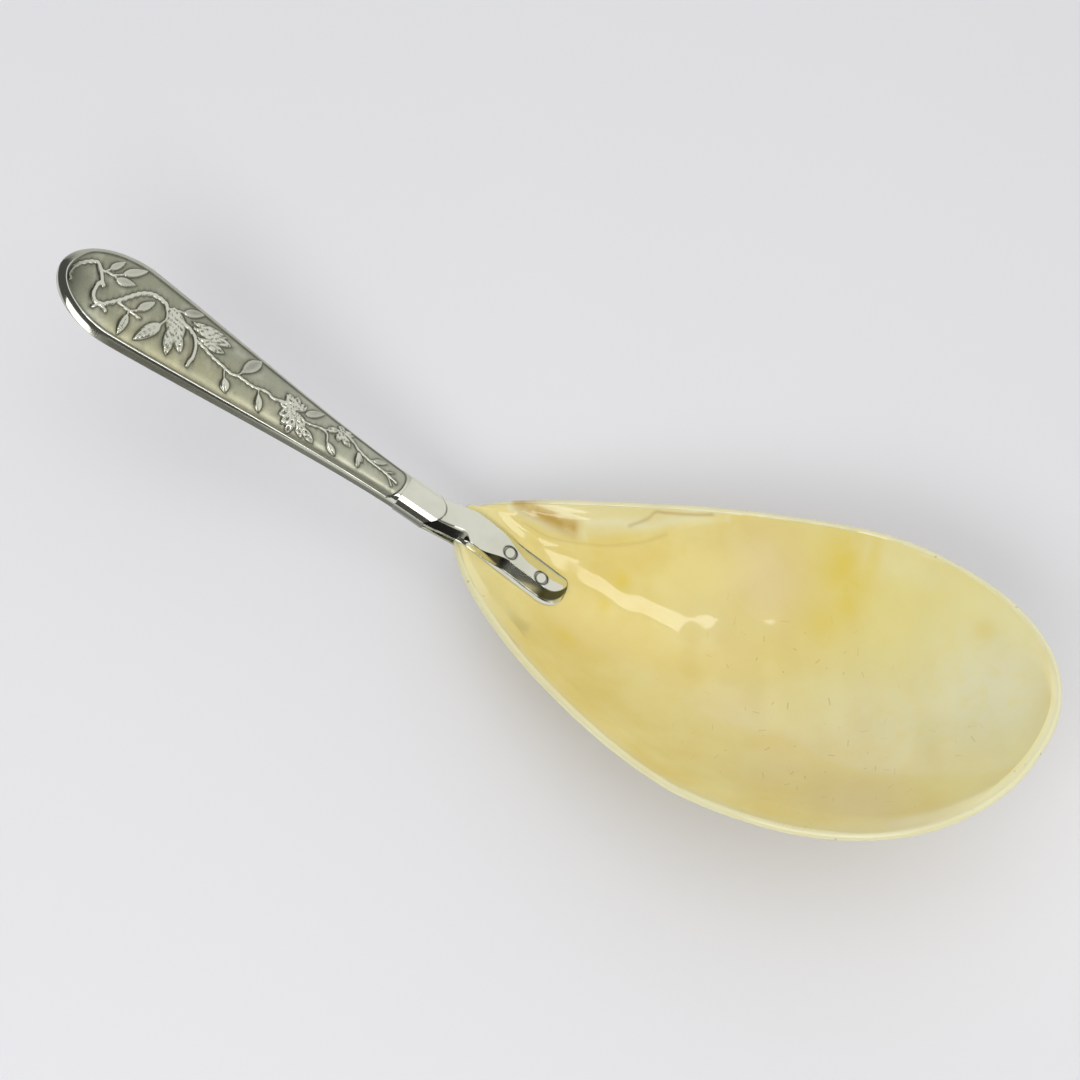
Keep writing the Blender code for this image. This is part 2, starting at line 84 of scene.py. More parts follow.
def skin(name, grid, material, node, marks=None, poles=(None, None), ringed=False, crease=None):
    # quads over a grid whose columns close on themselves; the end rows are shut by a fan to a pole
    # or by one flat face, unless the rows close on themselves too
    rows, cols = grid.shape[:2]
    order = np.arange(rows * cols).reshape(rows, cols)
    onward = np.vstack([order, order[:1]]) if ringed else order
    beside = np.roll(onward, -1, axis=1)
    quads = np.stack([onward[:-1], beside[:-1], beside[1:], onward[1:]], -1)
    faces = quads.reshape(-1, 4).tolist()
    points = grid.reshape(-1, 3)
    fans = []
    for row, pole, turn in ((0, poles[0], -1), (-1, poles[1], 1)):
        if ringed:
            continue
        if pole is None:
            faces.append(order[row][::turn].tolist())
            continue
        tip = np.full(cols, len(points))
        fan = np.stack([order[row], np.roll(order[row], -1), tip], -1)
        faces += fan[:, ::turn].tolist()
        points = np.vstack([points, pole])
        fans.append(row)
    mesh = bpy.data.meshes.new(name)
    mesh.from_pydata(points.tolist(), [], faces)
    for mark, values in (marks or {}).items():
        layer = mesh.attributes.new(mark, "FLOAT", "POINT")
        flat = np.r_[values.ravel(), [values[row].mean() for row in fans]]
        layer.data.foreach_set("value", flat.astype(np.float32))
    solid = bmesh.new()
    solid.from_mesh(mesh)
    if solid.calc_volume(signed=True) < 0:
        mesh.flip_normals()
    solid.free()
    mesh.shade_smooth()
    if crease:
        mesh.set_sharp_from_angle(angle=math.radians(crease))
    mesh.materials.append(material)
    piece = newObject(name, mesh)
    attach(piece, "root")
    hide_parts(node)
    print(name, "made:", len(mesh.vertices), "points")
    return piece


# materials

def hexColour(code):
    # sRGB hex to linear
    srgb = np.array([int(code[i:i + 2], 16) for i in (1, 3, 5)]) / 255
    linear = np.where(srgb <= 0.04045, srgb / 12.92, ((srgb + 0.055) / 1.055) ** 2.4)
    return (*linear.tolist(), 1.0)


def addNode(tree, kind, values=(), **settings):
    # one node with its settings; values go to sockets by name or number, or in a list by order; one that is a
    # node, or one output of a node, becomes a link
    node = tree.nodes.new("ShaderNode" + kind)
    for name, setting in settings.items():
        setattr(node, name, setting)
    for socket, value in values.items() if isinstance(values, dict) else enumerate(values):
        if isinstance(value, bpy.types.Node):
            value = next(output for output in value.outputs if output.enabled)
        if isinstance(value, bpy.types.NodeSocket):
            tree.links.new(value, node.inputs[socket])
        else:
            node.inputs[socket].default_value = value
    return node


def newMaterial(name, look, *marks):
    # a material, its tree and what it reads: coordinates, the noises of its dictionary, marks on the mesh
    made = bpy.data.materials.new(name)
    made.use_nodes = True
    tree = made.node_tree
    tree.nodes.clear()
    coords = addNode(tree, "TexCoord").outputs["Object"]
    read = {"coords": coords}
    for noise, (size, detail) in look.get("noises", {}).items():
        read[noise] = addNode(tree, "TexNoise", {"Vector": coords, "Scale": 1 / (size * mm), "Detail": detail})
    for mark in marks:
        read[mark] = addNode(tree, "Attribute", attribute_name=mark).outputs["Fac"]
    return made, tree, read


def layTones(tree, look, base, layers):
    # the base tone, then one tone after another mixed over what lies below it, each by its mask
    colour = hexColour(look[base])
    for mask, tone in layers:
        colour = addNode(tree, "Mix", {0: mask, 6: colour, 7: hexColour(look[tone])}, data_type="RGBA")
    return colour


def addSurface(tree, look, colour, rough, height, more):
    # the shader and its output: colour, roughness, a bump from a height, and what else the material shows
    relief = {"Strength": look["bump"], "Distance": look["bumpHeight"] * mm, "Height": height}
    sockets = {"Base Color": colour, "Roughness": rough, "Normal": addNode(tree, "Bump", relief), **more}
    addNode(tree, "OutputMaterial", {"Surface": addNode(tree, "BsdfPrincipled", sockets)})


eased = {"interpolation_type": "SMOOTHSTEP"}  # settings that many nodes share
times = {"operation": "MULTIPLY"}

# in these dictionaries lengths are millimetres, a range is from, to and what it gives at both, and a noise is
# the size of its patches and its detail

# sea shell, cut and polished: waxy honey-yellow, cream clouds and lemon patches, faint growth lines, wet gloss,
# and a painted highlight inside the near rim
shellLook = {
    "honey": "#E3D081", "cream": "#EADF9E", "amber": "#E2CB52", "lemon": "#EAE29A", "pale": "#ECEAC8",
    "tan": "#E0D1A8", "pink": "#E4D2A8", "rimMark": "#E3E1BE", "stain": "#BE9C4E", "scratch": "#8C7444",
    "outside": "#D8CBA4", "crack": "#A07C42",
    "overlays": ("lemon", "pale", "tan", "pink", "amber", "outside", "rimMark", "stain", "crack"),
    "mottled": ("pale", "amber", "outside", "stain"), "mottleRange": (0.2, 0.6, 0.5, 1.0),
    "noises": {"cloud": (18.0, 5.0), "mottle": (4.0, 4.0)}, "cloudRange": (0.34, 0.7, 0.0, 0.85),
    "growthPitch": 1.0, "growthRange": (0.35, 0.7, 0.0, 0.06), "growthGrain": 0.4,
    "scratchCell": 4.0, "scratchRare": 0.5, "scratchReach": 0.9, "scratchWidth": (0.04, 0.16),
    "scratchTone": 0.47, "pitCell": 4.3, "pitRange": (0.03, 0.1, 0.6, 0.0),
    "gloss": (0.3, 0.75, 0.045, 0.09), "index": 1.56, "glow": 0.12, "glowDepth": 2.0,
    "glowTint": (1.0, 0.62, 0.3), "bump": 0.05, "bumpHeight": 0.4,
}


def makeShellMaterial():
    look = shellLook
    made, tree, read = newMaterial("polishedSeaShell", look, *look["overlays"], "scratch", "growth")
    coords, mottle = read["coords"], read["mottle"]
    # growth lines follow the mark that counts millimetres across the direction of growth
    growth = addNode(tree, "TexNoise", {"W": read["growth"], "Scale": 1 / look["growthPitch"], "Detail": 4.0},
                     noise_dimensions="1D")
    # scratches: one short straight nick in each cell, turned at random; real ones are finer than 0.1 mm and
    # are drawn wider so that they show
    cells = addNode(tree, "TexVoronoi", {"Vector": coords, "Scale": 1 / (look["scratchCell"] * mm)})
    local = addNode(tree, "VectorMath", [coords, cells.outputs["Position"]], operation="SUBTRACT")
    chance = addNode(tree, "SeparateColor", [cells.outputs["Color"]])
    angle = addNode(tree, "Math", [chance.outputs[0], math.pi], **times)
    rotated = addNode(tree, "VectorRotate", {"Vector": local, "Axis": (0.0, 0.0, 1.0), "Angle": angle})
    spot = addNode(tree, "SeparateXYZ", [rotated])
    along, aside = (addNode(tree, "Math", [spot.outputs[axis]], operation="ABSOLUTE") for axis in (0, 1))
    longest = look["scratchReach"] * mm
    reach = addNode(tree, "MapRange", [chance.outputs[1], look["scratchRare"], 1.0, 0.0, longest], **eased)
    thin, wide = look["scratchWidth"]
    line = addNode(tree, "MapRange", [aside, thin * mm, wide * mm, look["scratchTone"], 0.0], **eased)
    ended = addNode(tree, "Math", [along, reach], operation="LESS_THAN")
    nick = addNode(tree, "Math", [line, ended], **times)
    pits = addNode(tree, "TexVoronoi", {"Vector": coords, "Scale": 1 / (look["pitCell"] * mm)})
    pit = addNode(tree, "MapRange", [pits, *look["pitRange"]], **eased)
    broken = addNode(tree, "MapRange", [mottle, *look["mottleRange"]], **eased)
    for mark in look["mottled"]:
        read[mark] = addNode(tree, "Math", [read[mark], broken], **times)
    colour = layTones(tree, look, "honey", (
        (addNode(tree, "MapRange", [read["cloud"], *look["cloudRange"]], **eased), "cream"),
        (addNode(tree, "MapRange", [growth, *look["growthRange"]], **eased), "cream"),
        *((read[tone], tone) for tone in look["overlays"]),
        (addNode(tree, "Math", [read["scratch"], nick], **times), "scratch"),
        (addNode(tree, "Math", [read["rimMark"], pit], **times), "scratch"),
    ))
    grain = addNode(tree, "Mix", {0: look["growthGrain"], 2: mottle, 3: growth})
    rough = addNode(tree, "MapRange", [mottle, *look["gloss"]])
    addSurface(tree, look, colour, rough, grain, {
        "IOR": look["index"], "Subsurface Weight": look["glow"], "Subsurface Radius": look["glowTint"],
        "Subsurface Scale": look["glowDepth"] * mm})
    return made


# silver, hand polished: bright and slightly warm under a thin veil of tarnish, hairline scratches, with painted
# shade in corners and gaps and painted dark reflections along edges
silverLook = {
    "bright": "#E6E7D6", "veil": "#CFCDB6", "paintedShade": "#4C4D44", "noises": {"tarnish": (6.5, 6.0)},
    "veilRange": (0.42, 0.72, 0.0, 0.35), "hair": 0.3, "hairStretch": 7.0, "gloss": (0.3, 0.75, 0.08, 0.16),
    "bump": 0.02, "bumpHeight": 0.1,
}


def makeSilverMaterial():
    look = silverLook
    made, tree, read = newMaterial("polishedSilver", look, "paintedShade")
    # polishing hairs are really a few hundredths of a millimetre apart and are drawn coarser so that they show
    drawn = addNode(tree, "Mapping", {"Vector": read["coords"], "Scale": (1 / look["hairStretch"], 1.0, 1.0)})
    hairs = addNode(tree, "TexNoise", {"Vector": drawn, "Scale": 1 / (look["hair"] * mm), "Detail": 2.0})
    veil = addNode(tree, "MapRange", [read["tarnish"], *look["veilRange"]], **eased)
    # painted shade and painted dark reflections laid over the bright tone where the mesh's mark says
    colour = layTones(tree, look, "bright", ((veil, "veil"), (read["paintedShade"], "paintedShade")))
    rough = addNode(tree, "MapRange", [read["tarnish"], *look["gloss"]])
    addSurface(tree, look, colour, rough, hairs, {"Metallic": 1.0})
    return made


# silver, stamped and oxidised: matt olive-grey ground, black in the corners, rubbed bright on what stands proud;
# painted warm reflection on the near side, painted dark reflection along the near edge, painted shade at the
# butt
oxideLook = {
    "ground": "#A6A892", "warm": "#B8B492", "crevice": "#34352C", "rubbed": "#DCDDCC", "border": "#E2E3D4",
    "noises": {"cloud": (4.0, 5.0), "grit": (0.3, 3.0)}, "warmRange": (0.3, 0.65, 0.4, 1.0),
    "rubbedRange": (0.48, 0.72, 0.0, 0.32), "dullRange": (0.42, 0.28, 0.0, 0.16),
    "gritRange": (0.55, 0.8, 0.0, 0.4), "sootRange": (0.2, 0.7, 0.75, 1.0), "reliefPolish": 0.65,
    "gloss": (0.0, 1.0, 0.46, 0.1), "bump": 0.3, "bumpHeight": 0.12,
}


def makeOxidisedMaterial():
    look = oxideLook
    made, tree, read = newMaterial("oxidisedSilver", look, "relief", "crevice", "border", "near")
    # the etched grit of the ground is really finer than 0.1 mm and is drawn coarser so that it shows
    cloud, grit = read["cloud"], read["grit"]
    uneven = addNode(tree, "MapRange", [cloud, *look["warmRange"]], **eased)
    sooty = addNode(tree, "MapRange", [grit, *look["sootRange"]], **eased)
    colour = layTones(tree, look, "ground", (
        # painted warm reflection on the near side of the panel
        (addNode(tree, "Math", [read["near"], uneven], **times), "warm"),
        (addNode(tree, "MapRange", [grit, *look["gritRange"]], **eased), "crevice"),
        (addNode(tree, "MapRange", [cloud, *look["rubbedRange"]], **eased), "rubbed"),
        (addNode(tree, "MapRange", [cloud, *look["dullRange"]], **eased), "crevice"),
        (read["relief"], "rubbed"),
        # oxide in the hollows, with painted dark reflection along the near edge and painted shade at the butt
        (addNode(tree, "Math", [read["crevice"], sooty], **times), "crevice"),
        (read["border"], "border"),
    ))
    polish = addNode(tree, "Math", [read["relief"], look["reliefPolish"]], **times)
    polish = addNode(tree, "Math", [polish, read["border"]], operation="MAXIMUM")
    matt = addNode(tree, "Math", [1.0, polish], operation="SUBTRACT")
    height = addNode(tree, "Math", [grit, matt], **times)
    rough = addNode(tree, "MapRange", [polish, *look["gloss"]], **eased)
    addSurface(tree, look, colour, rough, height, {"Metallic": 1.0})
    return made


# cutler's cement, melted resin with brick dust: dull brown-black, grainy
cementLook = {
    "dark": "#4A3D32", "dust": "#6E5848", "noises": {"grit": (1.5, 5.0)}, "dustRange": (0.4, 0.7),
    "rough": 0.8, "bump": 0.4, "bumpHeight": 0.2,
}


def makeCementMaterial():
    look = cementLook
    made, tree, read = newMaterial("cutlersCement", look)
    dusty = addNode(tree, "MapRange", [read["grit"], *look["dustRange"]], **eased)
    colour = layTones(tree, look, "dark", ((dusty, "dust"),))
    addSurface(tree, look, colour, look["rough"], read["grit"], {})
    return made


polishedSeaShell = makeShellMaterial()
polishedSilver = makeSilverMaterial()
oxidisedSilver = makeOxidisedMaterial()
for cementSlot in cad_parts["handle_cement"].material_slots:
    cementSlot.material = makeCementMaterial()
print("materials made")

# bowl, cut from a large sea shell; millimetres in the rim plane, x from the neck, y to the left
bowl = {
    "neckCut": 4.0, "neckLeftCut": 1.3, "neckLeft": 6.5, "neckRight": 2.4, "leftFlare": 24.0,
    "rightFlare": 47.0, "leftWidest": (97.5, 39.09), "rightWidest": (79.5, -32.2), "lip": (139.85, 12.0),
    "nearFullness": 0.24, "farFullness": 0.61, "depth": 26.0, "deepestAt": 56.0, "leastHalf": 0.7,
    "neckSteep": -0.4, "lipSteep": 0.1, "sectionFullness": 2.2, "wall": 2.6, "edgeWall": 1.6,
    "thinsFrom": 0.8, "edgeAt": 0.97, "rimRound": 0.6, "rimCurve": 0.7, "rimDrop": 0.15,
    "rimSteps": (112, 96, 84, 230, 24), "fineSteps": 200, "innerRows": 112, "rimRows": 11, "outerRows": 40,
    "innerReach": (0.988, 1.25), "outerReach": (0.985, 1.2),  # share of the plan, and how its rings crowd
    # polishing waves: height, radians per mm along and across, phase, swing
    "waves": ((0.075, 0.42, 0.21, 0.0, 1.3), (0.055, 0.17, -0.41, 2.0, 0.0), (0.03, 0.74, 0.4, 0.0, 0.0)),
    "waveSwing": 0.11,
    # nibbles round the rim: height, count, phase
    "nibbles": ((0.12, 7, 1), (0.1, 19, 0), (0.05, 43, 2)), "nibbleTop": 0.12,
    # tones, and the band of painted highlight inside the near rim: where it starts, where it fades across
    "rimTone": 0.7, "outsideTone": 0.85, "bandTone": 0.45, "bandFrom": 0.91, "bandFades": (8, -12),
    "growth": (0.15, 0.8, 1.5, 0.06),  # growth lines: share along and across, swing, radians per mm
}
# the natural edge left uncut near the neck: where its step lies, how far it stands up, its thin layers, and the
# grooves beside it as depth, distance, width
ledge = {
    "line": ((6, 10.5), (12.5, 9.9), (17, 10.0), (23, 11.8), (28.8, 14.0), (34.3, 16.9), (41.3, 20.5),
             (49.6, 25.3), (60, 30.4), (70, 34.5)),
    "slant": 0.9, "rise": 0.75, "step": (-0.5, 0.9), "fadeIn": (9, 14), "fadeOut": (50, 64),
    "layers": (1.6, 2.7, 4.2), "layerRise": 0.14, "layerEdge": (0.35, 0.1, 1.2),
    "grooves": ((0.09, 1.5, 0.4), (0.06, 3.0, 0.45)), "rimSink": 0.75, "sinkFrom": 0.86,
    "tone": 0.35, "toneFrom": (-0.4, 0.8),
}
# patches of colour: x, y, reach along x, reach along y, strength
shellPatches = {
    "amber": ((82, 32.5, 4.5, 5.0, 0.75), (86, 28.4, 4.0, 5.5, 0.7), (82.4, 21.9, 4.5, 4.0, 0.45),
              (34.6, 5.3, 1.6, 1.5, 0.7), (36.6, 11.1, 1.9, 1.4, 0.75), (32.1, -6.2, 2.6, 1.6, 0.45),
              (54, 28, 2.0, 1.2, 0.4), (117, 30, 2.5, 2.0, 0.4), (88, 34, 2.0, 5.0, 0.5)),
    "pale": ((124, 18, 18, 17, 0.85), (106, 6, 20, 14, 0.55), (94, 36, 20, 3.0, 0.3)),
    "lemon": ((112, 30, 34, 18, 0.75), (132, 8, 14, 20, 0.6), (78, 36, 16, 8, 0.5)),
    "tan": ((110, -16, 15, 9, 0.65), (73, -2, 9, 7, 0.4), (90, -14, 12, 10, 0.4)),
    "pink": ((67, 24, 9, 7, 0.6), (60, 12, 8, 6, 0.25)),
    "scratch": ((80, 8, 20, 12, 1.0), (92, -8, 22, 12, 1.0), (122, 6, 6, 5, 0.7)),
}
# strokes of colour: half-width, strength, path
shellStreaks = {
    "stain": ((1.25, 0.9, ((11.5, 11.4), (14, 11.6), (18.3, 12.1), (22, 12.7), (24.6, 13.3))),),
    "pale": ((0.6, 0.6, ((10.5, 9.9), (15, 10.4), (20, 11.2), (27, 13.6))),
             (0.5, 0.6, ((27, 15.2), (33, 18.0), (39, 20.4), (46, 24.0), (56, 28.4)))),
    "crack": ((0.18, 0.42, ((35.8, 18.8), (39.3, 21.2), (40.8, 22.7), (43.1, 23.6), (49.3, 26.0),
                            (52.8, 27.5))),
              (0.2, 0.16, ((13.8, 8.9), (20.5, 9.9), (29, 13.3), (37.6, 17.6), (43.8, 21.5)))),
}


def bezier(corners, count):
    # cubic through its first and last corner, pulled by the two between
    t = np.linspace(0, 1, count, endpoint=False)[:, None]
    a, b, c, d = corners
    return (1 - t) ** 3 * a + 3 * (1 - t) ** 2 * t * b + 3 * (1 - t) * t ** 2 * c + t ** 3 * d


def rimArcs(steps):
    # the rim in plan as five cubic arcs, anticlockwise from the neck's right corner
    ahead, left = np.eye(2)
    neckRight = np.array([bowl["neckCut"], -bowl["neckRight"]])
    neckLeft = np.array([bowl["neckLeftCut"], bowl["neckLeft"]])
    right, lip, wide = (np.array(bowl[key]) for key in ("rightWidest", "lip", "leftWidest"))
    turnRight, turnLeft = math.radians(-bowl["rightFlare"]), math.radians(bowl["leftFlare"])
    reachRight = bowl["nearFullness"] * np.linalg.norm(right - neckRight)
    reachLeft = bowl["nearFullness"] * np.linalg.norm(wide - neckLeft)
    outRight = reachRight * np.array([math.cos(turnRight), math.sin(turnRight)])
    outLeft = reachLeft * np.array([math.cos(turnLeft), math.sin(turnLeft)])
    aheadRight, sideRight = bowl["farFullness"] * (lip - right)
    aheadLeft, sideLeft = bowl["farFullness"] * np.abs(lip - wide)
    third = (neckRight - neckLeft) / 3
    corners = (
        (neckRight, neckRight + outRight, right - reachRight * ahead, right),
        (right, right + aheadRight * ahead, lip - sideRight * left, lip),
        (lip, lip + sideLeft * left, wide + aheadLeft * ahead, wide),
        (wide, wide - reachLeft * ahead, neckLeft + outLeft, neckLeft),
        (neckLeft, neckLeft + third, neckRight - third, neckRight),
    )
    return [bezier(four, count) for four, count in zip(corners, steps)]


fineArcs = rimArcs((bowl["fineSteps"],) * 5)
rightEdge = np.vstack([fineArcs[0], fineArcs[1], fineArcs[2][:1]])
leftEdge = np.vstack([fineArcs[2], fineArcs[3], fineArcs[4][:1]])[::-1]


def rimShare(x, y):
    # how far a point in plan lies from the middle line towards the rim, 1 on the rim
    right = np.interp(x, *rightEdge.T)
    left = np.interp(x, *leftEdge.T)
    return np.abs(y - (left + right) / 2) / np.maximum((left - right) / 2, bowl["leastHalf"])


def innerHeight(x, y):
    # keel: a parabola each way from the deepest spot, eased at both ends; sections fuller than a parabola
    near = np.clip((bowl["deepestAt"] - x) / (bowl["deepestAt"] - bowl["neckCut"]), 0, None) ** 2
    far = np.clip((x - bowl["deepestAt"]) / (bowl["lip"][0] - bowl["deepestAt"]), 0, None) ** 2
    keel = bowl["depth"] * (1 - near - far) * (1 + bowl["neckSteep"] * near + bowl["lipSteep"] * far)
    return -keel * (1 - rimShare(x, y) ** bowl["sectionFullness"])


def innerNormal(x, y, step=0.2):
    # square to the inner face, from its slopes along and across
    slopeX = (innerHeight(x + step, y) - innerHeight(x - step, y)) / (2 * step)
    slopeY = (innerHeight(x, y + step) - innerHeight(x, y - step)) / (2 * step)
    normal = np.stack([-slopeX, -slopeY, np.ones_like(slopeX)], -1)
    return normal / np.linalg.norm(normal, axis=-1, keepdims=True)


def overInnerFace(x, y, lift):
    # points at a distance over the inner face, measured square to it
    x, y, lift = np.broadcast_arrays(x, y, lift)
    return np.stack([x, y, innerHeight(x, y)], -1) + innerNormal(x, y) * lift[..., None]


def smoothPath(points, steps=8):
    # curve through the points: each span a cubic whose slopes come from the points beside it
    p = np.array(points, float)
    ends = np.vstack([2 * p[0] - p[1], p, 2 * p[-1] - p[-2]])
    t = np.linspace(0, 1, steps, endpoint=False)[None, :, None]
    a, b, c, d = (ends[i:len(p) - 1 + i, None] for i in range(4))
    spans = 2 * b + (c - a) * t + (2 * a - 5 * b + 4 * c - d) * t ** 2 + (3 * b - a - 3 * c + d) * t ** 3
    return np.vstack([spans.reshape(-1, p.shape[1]) / 2, p[-1:]])


def strokeDistance(s, y, path):
    # shortest distance to a chain of straight pieces
    nearest = np.full(s.shape, np.inf)
    for (s0, y0), (s1, y1) in zip(path, path[1:]):
        ds, dy = s1 - s0, y1 - y0
        t = np.clip(((s - s0) * ds + (y - y0) * dy) / (ds * ds + dy * dy), 0, 1)
        nearest = np.minimum(nearest, np.hypot(s - s0 - t * ds, y - y0 - t * dy))
    return nearest


def ledgeDepth(x, y):
    # distance in from the step of the natural edge, negative on the open side
    return (y - np.interp(x, *smoothPath(ledge["line"]).T)) * ledge["slant"]


def ledgeThere(x):
    # 1 along the stretch where the natural edge is left, fading at both ends
    return smooth(*ledge["fadeIn"], x) * (1 - smooth(*ledge["fadeOut"], x))


def innerDetail(x, y):
    # waves left by hand polishing, sines that cross, and the stepped natural edge with its layers and grooves
    swing = np.sin(bowl["waveSwing"] * y)
    waves = sum(height * np.sin(along * x + across * y + phase + swung * swing)
                for height, along, across, phase, swung in bowl["waves"])
    inward = ledgeDepth(x, y)
    steps = ledge["rise"] * smooth(*ledge["step"], inward)
    before, after, run = ledge["layerEdge"]
    for depth in ledge["layers"]:
        climb, fall = smooth(depth - before, depth + after, inward), smooth(depth, depth + run, inward)
        steps = steps + ledge["layerRise"] * (climb - fall)
    for drop, distance, width in ledge["grooves"]:
        steps = steps - drop * np.exp(-((inward + distance) / width) ** 2)
    share = rimShare(x, y)
    settle = 1 - ledge["rimSink"] * smooth(ledge["sinkFrom"], 1.0, share)
    return waves * (1 - smooth(bowl["thinsFrom"], 1.0, share)) + steps * ledgeThere(x) * settle


def patchMask(name, x, y):
    # soft spots: strength times a bell curve along and across
    mask = np.zeros_like(x)
    for atX, atY, reachX, reachY, strength in shellPatches.get(name, ()):
        bell = np.exp(-((x - atX) / reachX) ** 2 - ((y - atY) / reachY) ** 2)
        mask = np.maximum(mask, strength * bell)
    for width, strength, path in shellStreaks.get(name, ()):
        mask = np.maximum(mask, strength * np.exp(-(strokeDistance(x, y, smoothPath(path)) / width) ** 2))
    return mask


def makeBowl():
    # rings in plan from the deepest spot out to the rim, round the rim's edge, and back under the outer face
    rim = np.vstack(rimArcs(bowl["rimSteps"]))
    middle = sum(np.interp(bowl["deepestAt"], *line.T) for line in (rightEdge, leftEdge)) / 2
    deepest = np.array([bowl["deepestAt"], middle])

    def ring(shares):
        plan = deepest + (rim - deepest) * shares[:, None, None]
        return plan[..., 0], plan[..., 1]

    reach, crowding = bowl["innerReach"]
    innerShares = reach * (1 - (1 - np.linspace(0, 1, bowl["innerRows"] + 1)[1:]) ** crowding)
    x, y = ring(innerShares)
    inner = np.stack([x, y, innerHeight(x, y) + innerDetail(x, y)], -1)
    thinned = bowl["wall"] - bowl["edgeWall"]
    inner -= innerNormal(x, y) * (thinned * smooth(bowl["thinsFrom"], 1.0, rimShare(x, y)))[..., None]
    normal = innerNormal(*ring(np.array([bowl["edgeAt"]])))
    flat = np.linalg.norm(normal[..., :2], axis=-1, keepdims=True)
    upward = np.concatenate([-normal[..., :2] / flat * normal[..., 2:], flat], -1)
    turn = np.linspace(0, math.pi, bowl["rimRows"])[:, None, None]
    angle = np.linspace(0, 2 * math.pi, len(rim), endpoint=False)
    nibble = sum(height * np.sin(count * angle + phase) for height, count, phase in bowl["nibbles"])
    top = np.concatenate([rim, np.minimum(nibble, bowl["nibbleTop"])[:, None] - bowl["rimDrop"]], -1)[None]
    across = -normal * (thinned + bowl["edgeWall"] / 2 * (1 - np.cos(turn)))
    edge = top + across - upward * bowl["rimRound"] * (1 - np.sin(turn) ** bowl["rimCurve"])
    reach, crowding = bowl["outerReach"]
    outX, outY = ring(reach * (1 - np.linspace(0, 1, bowl["outerRows"] + 1)[:-1] ** crowding))
    outer = overInnerFace(outX, outY, -bowl["wall"])
    grid = place(np.concatenate([inner, edge, outer]), rimRise)
    grid[..., 2] = np.maximum(grid[..., 2], 0)
    planX = np.concatenate([x, np.broadcast_to(rim[:, 0], edge.shape[:2]), outX])
    planY = np.concatenate([y, np.broadcast_to(rim[:, 1], edge.shape[:2]), outY])
    zone = np.repeat([0, 1, 2], [len(x), len(edge), len(outX)])[:, None]  # inner face, rim, outer face
    inside = zone < 2
    marks = {name: patchMask(name, planX, planY) * inside for name in {**shellPatches, **shellStreaks}}
    reached = np.r_[innerShares, np.ones(len(edge) + len(outX))][:, None]
    # painted highlight: a pale band along the inside of the near rim
    band = bowl["bandTone"] * smooth(bowl["bandFrom"], 1.0, reached) * smooth(*bowl["bandFades"], planY)
    onLedge = ledge["tone"] * smooth(*ledge["toneFrom"], ledgeDepth(planX, planY)) * ledgeThere(planX)
    # the rim's paler cut face and the pale natural edge are the shell's own tones; the near band is painted
    # highlight
    marks["rimMark"] = np.maximum(np.where(zone == 1, bowl["rimTone"], band), onLedge) * inside
    marks["outside"] = np.where(zone == 2, bowl["outsideTone"], 0.0) + np.zeros_like(planX)
    along, sideways, swing, turns = bowl["growth"]
    marks["growth"] = planX * along + planY * sideways + swing * np.sin(planX * turns)
    foot = grid[-1].mean(axis=0)
    poles = (place(np.array([*deepest, innerHeight(*deepest) + innerDetail(*deepest)]), rimRise), foot)
    return skin("shellBowl", grid, polishedSeaShell, "shell_bowl", marks, poles)


makeBowl()

# hollow handle, two stamped halves; s runs from the butt, y to the left
handle = {
    "end": -12.0, "length": 91.1, "buttWidth": 21.1, "buttRound": 17.0, "thick": 7.9, "thickRound": 13.0,
    "taper": (1.2, 1.5), "neckWidth": 8.7, "neckThick": 7.7, "crown": (0.4, 5.0), "sheet": 0.45, "sink": 0.4,
    "buttBorder": 2.1, "neckBorder": 0.5, "farBorder": 0.55, "farFrom": (0.2, 0.6), "panelEndRound": 2.4,
    "panelWall": (0.0, 0.3), "reliefFrom": (0.1, 0.6), "seam": 0.05, "leastInside": 0.3, "crease": 50,
    "finePitch": 0.17, "coarsePitch": 0.7, "frontSteps": 150, "backSteps": 64, "insideSteps": 14,
    "buttStart": 0.03, "buttZone": 2.0, "buttRows": 36,
}
# its wear and tarnish, with painted shade at the butt, painted dark reflections by the seams and a painted warm
# reflection on the near side: tones, and where along (mm), across (share) or into the panel (mm) they come and
# go
wear = {
    "proud": (0.12, 0.35), "pitDulls": 0.8, "rubbed": 0.32, "rubbedAlong": (30, 80), "flank": (0.06, 0.22),
    "wallSoot": (0.15, 0.22), "pitSoot": 0.7, "sootFrom": (0.0, 0.2),
    "buttShade": 0.8, "buttShadeAlong": (11, 1), "buttShadeAcross": (6, -4),
    "seam": 0.85, "seamAcross": (-0.84, -0.93), "seamAlong": (12, 20),
    "border": (0.02, 0.18), "farDulls": 0.7, "farAcross": (0.0, 0.5),
    "warmAcross": (0.45, -0.75), "warmAlong": (9, 22), "warmFades": 0.6, "fadesAlong": (45, 75),
    "backSeam": 0.85, "backAcross": (0.72, 0.86),
}
handle["butt"] = handle["end"] - handle["length"]

